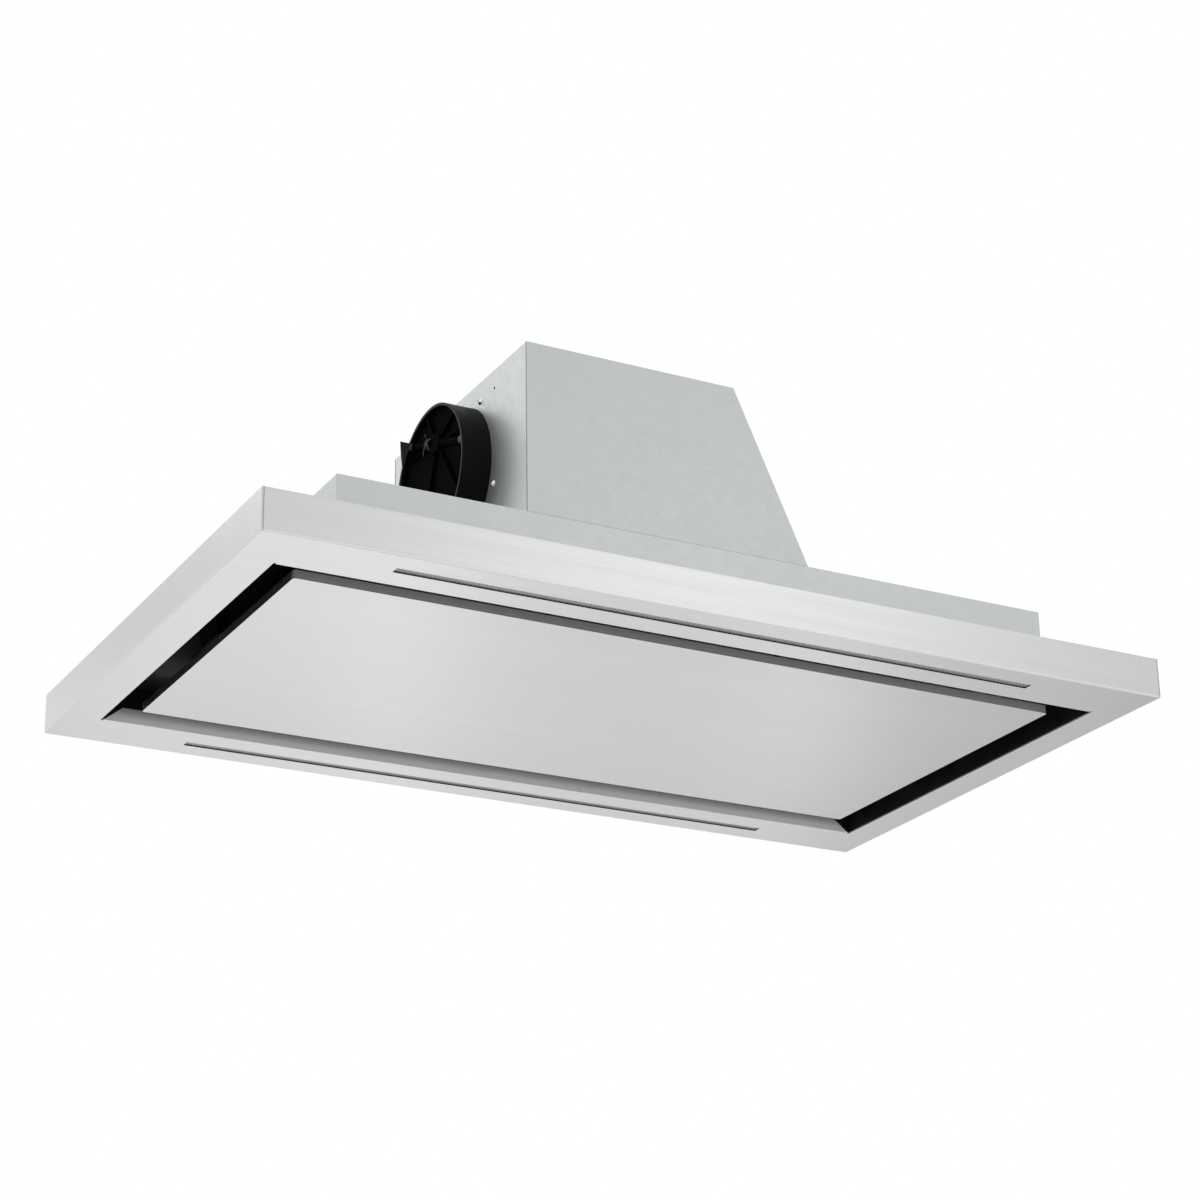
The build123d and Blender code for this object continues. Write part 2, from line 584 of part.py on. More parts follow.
def hinge_arm(y):
    """The panel's half of a hinge: a foot on the panel and an eye round the pin."""
    foot_x = (HINGE_X - HINGE_ARM_FOOT, HINGE_X + HINGE_EYE_RADIUS)
    across = about(y, HINGE_ARM_WIDTH)
    foot = slab(foot_x, across, (PANEL_INSIDE, PANEL_INSIDE + HINGE_PLATE))
    web = slab(about(HINGE_X, 2 * HINGE_EYE_RADIUS), across, (PANEL_INSIDE, HINGE_HEIGHT))
    eye = rod_y(HINGE_EYE_RADIUS, HINGE_X, across, HINGE_HEIGHT)
    bore = rod_y(HINGE_PIN_RADIUS + PIVOT_GAP, HINGE_X, across, HINGE_HEIGHT)
    return foot + web + eye - bore


def hinge_bracket(y):
    """The fixed half of a hinge: a foot under the deck and two cheeks beside the arm."""
    foot_x = (HINGE_X - HINGE_BRACKET_FOOT, HINGE_X + HINGE_EYE_RADIUS)
    inside = HINGE_ARM_WIDTH + 2 * SEAT_GAP
    outside = inside + 2 * HINGE_PLATE
    foot_z = (DECK_BOTTOM - HINGE_PLATE, DECK_BOTTOM)
    bracket = slab(foot_x, about(y, outside), foot_z)
    heel, toe = about(HINGE_X, 2 * HINGE_EYE_RADIUS)
    top = foot_z[0]
    profile = [(heel, HINGE_HEIGHT), (toe, HINGE_HEIGHT), (toe, top), (foot_x[0], top)]
    for side in (-1, 1):
        cheek_y = sorted((y + side * inside / 2, y + side * outside / 2))
        eye = rod_y(HINGE_EYE_RADIUS, HINGE_X, cheek_y, HINGE_HEIGHT)
        bracket += eye + prism_y(profile, cheek_y)
    reach = about(y, outside)
    return bracket - rod_y(HINGE_PIN_RADIUS + PIVOT_GAP, HINGE_X, reach, HINGE_HEIGHT)


def hinge_pin(y):
    """A plain pin with a flat head at its near end."""
    near, far = about(y, HINGE_ARM_WIDTH + 2 * SEAT_GAP + 2 * HINGE_PLATE)
    shank = rod_y(HINGE_PIN_RADIUS, HINGE_X, (near, far + HINGE_PIN_END), HINGE_HEIGHT)
    head_span = (near - HINGE_PIN_HEAD, near)
    return shank + rod_y(HINGE_PIN_RADIUS + HINGE_PIN_HEAD, HINGE_X, head_span, HINGE_HEIGHT)


def catch_strike():
    """A folded bracket inside the panel's left flange, with a leaf under the magnet."""
    y_span = (CATCH_OFFSET - STRIKE_NEAR, CATCH_OFFSET + STRIKE_FAR)
    leg_x = (STRIKE_OUTER, STRIKE_OUTER + LINER_SHEET)
    leg = slab(leg_x, y_span, (PANEL_INSIDE, STRIKE_HEIGHT))
    leaf_x = (STRIKE_OUTER, STRIKE_OUTER + STRIKE_LEAF)
    leaf = slab(leaf_x, y_span, (STRIKE_HEIGHT - LINER_SHEET, STRIKE_HEIGHT))
    return leg + leaf


def strike_disc():
    """The bright steel disc that the magnet holds."""
    x = STRIKE_OUTER + STRIKE_DISC_RADIUS
    z_span = (STRIKE_HEIGHT, STRIKE_HEIGHT + STRIKE_DISC_THICKNESS)
    return rod_z(STRIKE_DISC_RADIUS, x, CATCH_OFFSET, z_span)


def panel_catch():
    """The magnet catch: a case hung from the deck, with its magnet face over the disc."""
    x = STRIKE_OUTER + STRIKE_DISC_RADIUS
    face = STRIKE_HEIGHT + STRIKE_DISC_THICKNESS + SEAT_GAP
    case_z = (face + MAGNET_HEIGHT, DECK_BOTTOM)
    case = slab(about(x, CATCH_WIDTH), about(CATCH_OFFSET, CATCH_LENGTH), case_z)
    case = fillet(case.edges().filter_by(Axis.Z), CATCH_CORNER_RADIUS)
    magnet_x = about(x, CATCH_WIDTH - 2 * MAGNET_MARGIN)
    magnet = slab(magnet_x, about(CATCH_OFFSET, CATCH_LENGTH / 2), (face, face + MAGNET_HEIGHT))
    return case + magnet


# ---- Filters --------------------------------------------------------------------------------
def filter_places():
    return [(index - (FILTER_COUNT - 1) / 2) * FILTER_PITCH for index in range(FILTER_COUNT)]


def filter_frame(x):
    """The filter's frame, its lip under the deck, two cross bars and the ears of its ring."""
    base = DECK_BOTTOM
    body = slab(about(x, FILTER_LENGTH), about(0, FILTER_DEPTH), (base, base + FILTER_HEIGHT))
    lip_x = about(x, FILTER_LENGTH + 2 * FILTER_LIP)
    lip_y = about(0, FILTER_DEPTH + 2 * FILTER_LIP)
    body += slab(lip_x, lip_y, (base - FILTER_GAP, base))
    window_x = about(x, FILTER_LENGTH - 2 * FILTER_BORDER)
    window_y = about(0, FILTER_DEPTH - 2 * FILTER_BORDER)
    body -= slab(window_x, window_y, (base - FILTER_GAP, base + FILTER_HEIGHT))
    for side in (-1, 1):
        bar_x = about(x + side * FILTER_LENGTH / 6, FILTER_BAR)
        body += slab(bar_x, window_y, (base - FILTER_GAP, base + FILTER_GAP))
        ear_x = about(x + side * (RING_WIDTH / 2 + RING_EAR_GAP), EAR_THICKNESS)
        ear_z = (RING_Z - EAR_WIDTH / 2, base - FILTER_GAP)
        body += slab(ear_x, about(RING_Y, EAR_WIDTH), ear_z)
    bore_x = about(x, RING_WIDTH + 2 * (RING_EAR_GAP + EAR_THICKNESS))
    return body - rod_x(RING_WIRE_RADIUS + PIVOT_GAP, bore_x, RING_Y, RING_Z)


def filter_media(x):
    """The pleated metal mesh inside the frame, drawn as one folded sheet."""
    base = DECK_BOTTOM + FILTER_GAP
    crest = DECK_BOTTOM + FILTER_HEIGHT - FILTER_GAP - PLEAT_SHEET
    depth = FILTER_DEPTH - 2 * FILTER_BORDER
    width = FILTER_LENGTH - 2 * FILTER_BORDER
    pleat = depth / PLEAT_COUNT
    lower = []
    for index in range(2 * PLEAT_COUNT + 1):
        height = base if index % 2 == 0 else crest
        lower.append((-depth / 2 + index * pleat / 2, height))
    upper = [(y, z + PLEAT_SHEET) for y, z in reversed(lower)]
    return prism_x(lower + upper, about(x, width))


def filter_ring(x):
    """The wire ring that a finger pulls the filter down by, hanging in its ears."""
    half = RING_WIDTH / 2
    end = half + RING_EAR_GAP + EAR_THICKNESS
    points = [(-end, 0), (-half, 0), (-half, -RING_DROP), (half, -RING_DROP), (half, 0), (end, 0)]
    path = FilletPolyline([(x + px, RING_Y, RING_Z + pz) for px, pz in points], radius=RING_BEND)
    section = Plane(origin=path @ 0, z_dir=path % 0) * Circle(RING_WIRE_RADIUS)
    return sweep(section, path=path)


# ---- Plenum tray ----------------------------------------------------------------------------
def rod_places():
    reach_x = TRAY_LENGTH / 2 - ROD_INSET_X
    reach_y = TRAY_DEPTH / 2 - ROD_INSET_Y
    return [(side * reach_x, end * reach_y) for side in (-1, 1) for end in (-1, 1)]


def plenum_tray():
    """The galvanised tray on the deck, open below, with the blower's opening in its top."""
    outer_x = about(0, TRAY_LENGTH)
    outer_y = about(0, TRAY_DEPTH)
    tray = slab(outer_x, outer_y, (DECK_TOP, TRAY_TOP))
    inside_x = about(0, TRAY_LENGTH - 2 * ZINC_SHEET)
    inside_y = about(0, TRAY_DEPTH - 2 * ZINC_SHEET)
    inside = slab(inside_x, inside_y, (DECK_TOP, TRAY_TOP - ZINC_SHEET))
    flange_x = about(0, TRAY_LENGTH + 2 * TRAY_FLANGE)
    flange_y = about(0, TRAY_DEPTH + 2 * TRAY_FLANGE)
    tray += slab(flange_x, flange_y, (DECK_TOP, DECK_TOP + ZINC_SHEET))
    tray -= inside
    opening_x = (HOUSING_LEFT + HOUSING_FLANGE, HOUSING_BASE_RIGHT - HOUSING_FLANGE)
    opening_y = (HOUSING_NEAR + HOUSING_FLANGE, HOUSING_FAR - HOUSING_FLANGE)
    top = (TRAY_TOP - ZINC_SHEET, TRAY_TOP)
    tray -= slab(opening_x, opening_y, top)
    for x, y in rod_places():
        tray -= rod_z(ROD_HOLE_RADIUS, x, y, top)
    for x, y in tray_screw_places():
        tray -= screw_hole(x, y, (DECK_TOP, DECK_TOP + ZINC_SHEET))
    return tray


def hanger_plate(x, y):
    """The thick washer plate under the tray's top at one ceiling rod."""
    z_span = (TRAY_TOP - ZINC_SHEET - HANGER_THICKNESS, TRAY_TOP - ZINC_SHEET)
    plate = slab(about(x, HANGER_SIZE), about(y, HANGER_SIZE), z_span)
    plate = fillet(plate.edges().filter_by(Axis.Z), HANGER_CORNER_RADIUS)
    return plate - rod_z(ROD_HOLE_RADIUS, x, y, z_span)


# ---- Blower housing -------------------------------------------------------------------------
def housing_profile(inset=0.0, foot=0.0):
    """The housing's side outline, with one sloped end, moved inwards by a sheet."""
    slope = (HOUSING_BASE_LENGTH - HOUSING_TOP_LENGTH) / HOUSING_HEIGHT
    slant = math.sqrt(1 + slope**2) * inset
    left = HOUSING_LEFT + inset
    top = HOUSING_TOP - inset
    top_right = HOUSING_LEFT + HOUSING_TOP_LENGTH - slant + slope * inset
    base = TRAY_TOP - foot
    base_right = HOUSING_BASE_RIGHT - slant + slope * foot
    return [(left, base), (left, top), (top_right, top), (base_right, base)]


def housing_wrap():
    """The strip folded round the housing's left face, top and sloped end."""
    y_span = (HOUSING_NEAR + ZINC_SHEET, HOUSING_FAR - ZINC_SHEET)
    outer = prism_y(housing_profile(), y_span)
    wrap = outer - prism_y(housing_profile(ZINC_SHEET, ZINC_SHEET), y_span)
    foot = outer & slab((HOUSING_LEFT, HOUSING_BASE_RIGHT), y_span, (TRAY_TOP, TRAY_TOP + ZINC_SHEET))
    opening_x = (HOUSING_LEFT + HOUSING_FLANGE, HOUSING_BASE_RIGHT - HOUSING_FLANGE)
    foot -= slab(opening_x, y_span, (TRAY_TOP, TRAY_TOP + ZINC_SHEET))
    wrap += foot
    face = (HOUSING_LEFT, HOUSING_LEFT + ZINC_SHEET)
    wrap -= rod_x(COLLAR_RADIUS + SEAT_GAP, face, COLLAR_Y, COLLAR_Z)
    for y, z in collar_screw_places():
        wrap -= rod_x(COLLAR_SCREW_RADIUS + HOLE_GAP, face, y, z)
    pilot_y = COLLAR_Y + PILOT_HOLE_OFFSET
    return wrap - rod_x(PILOT_HOLE_RADIUS, face, pilot_y, TRAY_TOP + PILOT_HOLE_RISE)


def housing_cover(side):
    """A flat cover with its foot folded inwards, near (-1) or far (1)."""
    outer_y = HOUSING_NEAR if side < 0 else HOUSING_FAR
    y_span = sorted((outer_y, outer_y - side * ZINC_SHEET))
    cover = prism_y(housing_profile(), y_span)
    foot_x = (HOUSING_LEFT + HOUSING_FLANGE + SEAT_GAP, HOUSING_BASE_RIGHT - HOUSING_FLANGE - SEAT_GAP)
    foot_y = sorted((outer_y, outer_y - side * HOUSING_FLANGE))
    foot = slab(foot_x, foot_y, (TRAY_TOP, TRAY_TOP + ZINC_SHEET))
    return cover + foot


# ---- Outlet collar and damper ---------------------------------------------------------------
def collar_screw_places():
    places = []
    for angle in COLLAR_SCREW_ANGLES:
        turn = math.radians(angle)
        y = COLLAR_Y - COLLAR_SCREW_CIRCLE * math.cos(turn)
        places.append((y, COLLAR_Z + COLLAR_SCREW_CIRCLE * math.sin(turn)))
    return places


def collar_rod(radius, x_span):
    return rod_x(radius, x_span, COLLAR_Y, COLLAR_Z)


def turned(shape):
    """A damper piece, modelled with a level spindle, turned round the collar's axis."""
    return Pos(0, COLLAR_Y, COLLAR_Z) * Rot(DAMPER_TURN, 0, 0) * Pos(0, -COLLAR_Y, -COLLAR_Z) * shape


def outlet_collar():
    """The moulded collar, its flange behind the sheet, spindle bosses, seat and end tab."""
    back_face = HOUSING_LEFT + ZINC_SHEET
    collar = collar_rod(COLLAR_RADIUS, (COLLAR_MOUTH, HOUSING_LEFT))
    collar += collar_rod(COLLAR_RADIUS - COLLAR_NECK_STEP, (HOUSING_LEFT, back_face))
    flange_x = (back_face, COLLAR_BACK)
    collar += collar_rod(COLLAR_FLANGE_RADIUS, flange_x)
    for y, z in collar_screw_places():
        collar += rod_x(COLLAR_EAR_RADIUS, flange_x, y, z)
    for y, z in collar_screw_places():
        collar -= rod_x(COLLAR_SCREW_RADIUS + HOLE_GAP, flange_x, y, z)
    bore = collar_rod(COLLAR_BORE, (COLLAR_MOUTH - TAB_REACH, COLLAR_BACK))
    collar = collar - bore + (collar_tab() - bore)
    core = collar_rod(COLLAR_BORE + COLLAR_WALL / 2, (COLLAR_MOUTH, COLLAR_BACK))
    for side in (-1, 1):
        inner = COLLAR_Y + side * (SPINDLE_REACH - SPINDLE_BOSS_LENGTH)
        outer = COLLAR_Y + side * COLLAR_RADIUS
        boss = rod_y(SPINDLE_BOSS_RADIUS, SPINDLE_X, sorted((inner, outer)), SPINDLE_Z)
        collar += turned(boss) & core
        pocket = COLLAR_Y + side * (SPINDLE_REACH - SPINDLE_POCKET)
        pocket_span = sorted((inner, pocket))
        hole = rod_y(SPINDLE_RADIUS + PIVOT_GAP, SPINDLE_X, pocket_span, SPINDLE_Z)
        collar -= turned(hole)
    seat_x = SPINDLE_X + FLAP_THICKNESS / 2 + SEAT_GAP
    seat_span = (seat_x, seat_x + SEAT_RING_THICKNESS)
    seat = collar_rod(COLLAR_BORE + COLLAR_WALL / 2, seat_span)
    seat -= collar_rod(COLLAR_BORE - SEAT_RING_WIDTH, seat_span)
    below = (COLLAR_Z - COLLAR_RADIUS, SPINDLE_Z - SEAT_RING_DROP)
    lower_half = slab(seat_span, about(COLLAR_Y, 2 * COLLAR_RADIUS), below)
    return collar + turned(seat & lower_half)


def collar_tab():
    """The ramp that runs out of the collar's mouth beside the spindle's far end."""
    middle = math.radians(TAB_START + TAB_SPAN / 2)
    half_arc = COLLAR_RADIUS * math.radians(TAB_SPAN / 2)
    root = (COLLAR_MOUTH, COLLAR_Y, COLLAR_Z)
    outwards = (0, math.cos(middle), math.sin(middle))
    ramp = make_face(Polyline([(0, half_arc), (TAB_REACH, half_arc), (0, -half_arc)], close=True))
    wedge = extrude(Plane(origin=root, x_dir=(-1, 0, 0), z_dir=outwards) * ramp, COLLAR_RADIUS)
    return wedge & collar_rod(COLLAR_RADIUS - TAB_STEP, (COLLAR_MOUTH - TAB_REACH, COLLAR_MOUTH))


def collar_screw(y, z):
    """A dome-head screw through the housing's left face into the collar's flange."""
    face = HOUSING_LEFT
    radius = COLLAR_SCREW_HEAD_RADIUS
    height = COLLAR_SCREW_HEAD_HEIGHT
    dome_radius = (radius**2 + height**2) / (2 * height)
    dome = Pos(face - height + dome_radius, y, z) * Sphere(dome_radius)
    head = dome & rod_x(radius, (face - height, face), y, z)
    head -= Pos(face - height, y, z) * Rot(0, 90, 0) * cross_recess()
    return head + rod_x(COLLAR_SCREW_RADIUS, (face, face + COLLAR_SCREW_LENGTH), y, z)


def damper_spindle():
    reach = 2 * (SPINDLE_REACH - SPINDLE_POCKET - SEAT_GAP)
    return turned(rod_y(SPINDLE_RADIUS, SPINDLE_X, about(COLLAR_Y, reach), SPINDLE_Z))


def damper_flap():
    """The one-piece flap on its off-centre spindle, ribbed on the side of the mouth."""
    plate_x = about(SPINDLE_X, FLAP_THICKNESS)
    radius = COLLAR_BORE - FLAP_EDGE_GAP
    face = plate_x[0]
    crest = face - FLAP_RIB_HEIGHT
    flap = collar_rod(radius, plate_x)
    rib_zone = collar_rod(radius - FLAP_RIB_INSET, (crest, SPINDLE_X))
    for angle in FLAP_RIB_ANGLES:
        bar = Pos(0, radius, 0) * Box(2 * FLAP_RIB_HEIGHT, 2 * radius, FLAP_RIB_THICKNESS)
        bar = Pos(face, COLLAR_Y, SPINDLE_Z) * Rot(angle, 0, 0) * bar
        flap += bar & rib_zone
    sleeve_reach = SPINDLE_REACH - SPINDLE_BOSS_LENGTH - FLAP_END_PLAY
    notch_x = (crest, plate_x[1])
    notch_z = about(SPINDLE_Z, FLAP_NOTCH_HEIGHT)
    for side in (-1, 1):
        ends = (COLLAR_Y + side * sleeve_reach, COLLAR_Y + side * COLLAR_RADIUS)
        flap -= slab(notch_x, sorted(ends), notch_z)
    flap += rod_x(FLAP_HUB_RADIUS, (crest - FLAP_HUB_STEP, SPINDLE_X), COLLAR_Y, SPINDLE_Z)
    flap += rod_y(FLAP_SLEEVE_RADIUS, SPINDLE_X, about(COLLAR_Y, 2 * sleeve_reach), SPINDLE_Z)
    bore_span = about(COLLAR_Y, 2 * COLLAR_RADIUS)
    flap -= rod_y(SPINDLE_RADIUS + PIVOT_GAP, SPINDLE_X, bore_span, SPINDLE_Z)
    recess_y = (SPRING_START - SPRING_RECESS_GAP, SPRING_START + SPRING_SPAN + SPRING_RECESS_GAP)
    recess_radius = SPRING_COIL_RADIUS + SPRING_WIRE_RADIUS + SEAT_GAP
    recess = rod_y(recess_radius, SPINDLE_X, recess_y, SPINDLE_Z)
    recess -= rod_y(FLAP_SLEEVE_RADIUS, SPINDLE_X, recess_y, SPINDLE_Z)
    return turned(flap - recess)


def spring_point(turn):
    """The coil's centre line after a number of turns, and the way it runs there."""
    angle = 2 * math.pi * turn - math.pi / 2 + math.radians(SPRING_LEAN)
    x = SPINDLE_X + SPRING_COIL_RADIUS * math.sin(angle)
    z = SPINDLE_Z - SPRING_COIL_RADIUS * math.cos(angle)
    around = 2 * math.pi * SPRING_COIL_RADIUS
    way = Vector(around * math.cos(angle), SPRING_PITCH, around * math.sin(angle))
    return Vector(x, SPRING_START + SPRING_PITCH * turn, z), way.normalized()


def biarc(start, start_way, finish, finish_way):
    """Two arcs that leave the start and reach the finish along the given ways."""
    chord = finish - start
    ways = start_way + finish_way
    spread = 2 * (1 - start_way.dot(finish_way))
    along = chord.dot(ways)
    reach = (math.sqrt(along**2 + spread * chord.dot(chord)) - along) / spread
    joint = (start + start_way * reach + finish - finish_way * reach) * 0.5
    first = TangentArc(start, joint, tangent=start_way)
    middle_way = first % 1
    return [first, TangentArc(joint, finish, tangent=middle_way)]


def damper_spring():
    """The leg spring round the flap's sleeve: one unbroken wire with a leg at each end."""
    total = SPRING_TURNS - SPRING_LEAN / 360
    stations = [total * index / (4 * SPRING_TURNS) for index in range(4 * SPRING_TURNS + 1)]
    arcs = []
    for turn, next_turn in zip(stations, stations[1:]):
        arcs += biarc(*spring_point(turn), *spring_point(next_turn))
    first_point, first_way = spring_point(0)
    last_point, last_way = spring_point(total)
    free_leg = Line(first_point - first_way * SPRING_LEG, first_point)
    flap_leg = Line(last_point, last_point + last_way * SPRING_LEG)
    path = Wire([free_leg, *arcs, flap_leg])
    section = Plane(origin=path @ 0, z_dir=path % 0) * Circle(SPRING_WIRE_RADIUS)
    print("spring least gap to itself", round(least_self_gap(), 2))
    return turned(sweep(section, path=path))


def least_self_gap():
    """The least distance between wires of neighbouring turns, measured on points."""
    points = [spring_point(index / 24)[0] for index in range(round(24 * SPRING_TURNS) + 1)]
    gaps = [
        (points[later] - points[earlier]).length
        for earlier in range(len(points))
        for later in range(earlier + 12, len(points))
    ]
    return min(gaps) - 2 * SPRING_WIRE_RADIUS


# ---- Blower ---------------------------------------------------------------------------------
def scroll_outline(thickness):
    """The scroll's outline in X and Z: a growing spiral that runs out into a straight duct."""
    turn = SCROLL_END_ANGLE - SCROLL_START_ANGLE
    growth = SCROLL_END_RADIUS - SCROLL_START_RADIUS
    points = []
    for index in range(SCROLL_STATIONS):
        share = index / (SCROLL_STATIONS - 1)
        angle = math.radians(SCROLL_START_ANGLE + turn * share)
        radius = SCROLL_START_RADIUS + growth * share + thickness
        points.append((WHEEL_X + radius * math.cos(angle), WHEEL_Z + radius * math.sin(angle)))
    spiral = Spline([(x, 0, z) for x, z in points])
    (tongue_x, tongue_z), (crest_x, crest_z) = points[0], points[-1]
    corners = [
        (crest_x, 0, crest_z),
        (SCROLL_MOUTH, 0, crest_z),
        (SCROLL_MOUTH, 0, tongue_z),
        (tongue_x, 0, tongue_z),
    ]
    duct = Polyline(corners)
    return make_face([*spiral.edges(), *duct.edges()])


def scroll_solid(thickness, y_span):
    face = Pos(0, y_span[0], 0) * scroll_outline(thickness)
    return extrude(face, amount=y_span[1] - y_span[0], dir=(0, 1, 0))


def scroll_band():
    """The strip that is rolled to the spiral between the two sides."""
    y_span = (SCROLL_NEAR, SCROLL_FAR)
    return scroll_solid(ZINC_SHEET, y_span) - scroll_solid(0, y_span)


def scroll_side(side):
    """A flat side with the inlet's hole and two tabs that hang it from the housing's top."""
    inner = SCROLL_NEAR if side < 0 else SCROLL_FAR
    y_span = sorted((inner, inner + side * ZINC_SHEET))
    plate = scroll_solid(ZINC_SHEET, y_span)
    roof = HOUSING_TOP - ZINC_SHEET
    foot_y = sorted((inner, inner + side * HOUSING_FLANGE))
    for x in (SCROLL_MOUTH + SCROLL_TAB, WHEEL_X):
        plate += slab(about(x, SCROLL_TAB), y_span, (WHEEL_Z + WHEEL_RADIUS, roof))
        plate += slab(about(x, SCROLL_TAB), foot_y, (roof - ZINC_SHEET, roof))
    hole = INLET_RADIUS + INLET_BELL_RADIUS + SEAT_GAP
    return plate - rod_y(hole, WHEEL_X, y_span, WHEEL_Z)


def inlet_ring(side):
    """The pressed bell that leads the air into one side of the wheel."""
    sheet = ZINC_SHEET
    bell = INLET_BELL_RADIUS
    outer = INLET_RADIUS + bell
    lines = [
        Line((INLET_FLANGE_RADIUS, 0), (INLET_FLANGE_RADIUS, sheet)),
        Line((INLET_FLANGE_RADIUS, sheet), (outer, sheet)),
        RadiusArc((outer, sheet), (INLET_RADIUS - sheet, -bell), bell + sheet),
        Line((INLET_RADIUS - sheet, -bell), (INLET_RADIUS - sheet, -INLET_DEPTH)),
        Line((INLET_RADIUS - sheet, -INLET_DEPTH), (INLET_RADIUS, -INLET_DEPTH)),
        Line((INLET_RADIUS, -INLET_DEPTH), (INLET_RADIUS, -bell)),
        RadiusArc((INLET_RADIUS, -bell), (outer, 0), -bell),
        Line((outer, 0), (INLET_FLANGE_RADIUS, 0)),
    ]
    face = make_face(lines)
    ring = revolve(Plane.XZ * face, Axis.Z)
    plate = SCROLL_FAR + ZINC_SHEET if side > 0 else SCROLL_NEAR - ZINC_SHEET
    return Pos(WHEEL_X, plate, WHEEL_Z) * Rot(-90 * side, 0, 0) * ring


def blade_face():
    """One forward-curved blade's section, its tip leading its root."""
    lean = math.radians(BLADE_LEAN)
    root = BLADE_INNER_RADIUS
    tip = WHEEL_RADIUS - BLADE_TIP_GAP
    middle = (root + tip) / 2
    rows = []
    for thickness in (0, BLADE_THICKNESS):
        root_point = (root, thickness)
        middle_point = (middle, middle * lean / 2 - BLADE_BOW + thickness)
        tip_point = (tip * math.cos(lean), tip * math.sin(lean) + thickness)
        rows.append((root_point, middle_point, tip_point))
    (root_a, mid_a, tip_a), (root_b, mid_b, tip_b) = rows
    lines = [
        ThreePointArc(root_a, mid_a, tip_a),
        Line(tip_a, tip_b),
        ThreePointArc(tip_b, mid_b, root_b),
        Line(root_b, root_a),
    ]
    return make_face(lines)


def impeller():
    """The double-inlet wheel: a middle disc, curved blades through it and a ring at each end."""
    blade = extrude(blade_face(), amount=WHEEL_WIDTH / 2, both=True)
    step = 360 / BLADE_COUNT
    blades = [Rot(0, 0, index * step) * blade for index in range(BLADE_COUNT)]
    wheel = Cylinder(WHEEL_RADIUS - 2 * BLADE_TIP_GAP, WHEEL_DISC_THICKNESS)
    for side in (-1, 1):
        middle = side * (WHEEL_WIDTH - WHEEL_RING_THICKNESS) / 2
        ring = Cylinder(WHEEL_RADIUS, WHEEL_RING_THICKNESS)
        ring -= Cylinder(WHEEL_RADIUS - WHEEL_RING_WIDTH, WHEEL_RING_THICKNESS)
        wheel += Pos(0, 0, middle) * ring
    wheel = wheel.fuse(*blades)
    wheel += Cylinder(HUB_RADIUS, HUB_LENGTH)
    wheel -= Cylinder(SHAFT_RADIUS + HOLE_GAP, HUB_LENGTH)
    return Pos(WHEEL_X, WHEEL_Y, WHEEL_Z) * Rot(90, 0, 0) * wheel


# ---- Motor ----------------------------------------------------------------------------------
def motor_shaft():
    return rod_y(SHAFT_RADIUS, WHEEL_X, (SHAFT_NEAR, SHAFT_NEAR + SHAFT_LENGTH), WHEEL_Z)


def shaft_nut():
    """The nut that clamps the wheel's hub on the shaft."""
    near = WHEEL_Y - HUB_LENGTH / 2 - NUT_HEIGHT
    blank = extrude(RegularPolygon(NUT_WIDTH / 2, 6, major_radius=False), NUT_HEIGHT)
    blank -= Cylinder(SHAFT_RADIUS + HOLE_GAP, 3 * NUT_HEIGHT)
    return Pos(WHEEL_X, near + NUT_HEIGHT, WHEEL_Z) * Rot(90, 0, 0) * blank


def motor_body():
    """The ribbed motor case with its bearing boss, bored for the shaft."""
    case = rod_y(MOTOR_RADIUS - MOTOR_RIB_HEIGHT, WHEEL_X, (MOTOR_NEAR, MOTOR_FAR), WHEEL_Z)
    place = Pos(WHEEL_X, (MOTOR_NEAR + MOTOR_FAR) / 2, WHEEL_Z)
    rib_depth = 3 * MOTOR_RIB_HEIGHT
    rib = Box(rib_depth, MOTOR_LENGTH - 2 * MOTOR_RIB_INSET, MOTOR_RIB_WIDTH)
    rib = Pos(MOTOR_RADIUS - rib_depth / 2, 0, 0) * rib
    for index in range(MOTOR_RIB_COUNT):
        case += place * Rot(0, 360 * index / MOTOR_RIB_COUNT, 0) * rib
    case -= rod_y(SHAFT_RADIUS + PIVOT_GAP, WHEEL_X, (MOTOR_NEAR, MOTOR_NEAR + SHAFT_LENGTH), WHEEL_Z)
    for x, z in spider_bolt_places():
        case -= rod_y(SCREW_RADIUS + HOLE_GAP, x, (MOTOR_FAR - SCREW_LENGTH, MOTOR_FAR), z)
    return case


def spider_bolt_places():
    places = []
    for index in range(SPIDER_ARM_COUNT):
        turn = math.radians(90 + 360 * index / SPIDER_ARM_COUNT)
        x = WHEEL_X + SPIDER_BOLT_CIRCLE * math.cos(turn)
        places.append((x, WHEEL_Z + SPIDER_BOLT_CIRCLE * math.sin(turn)))
    return places


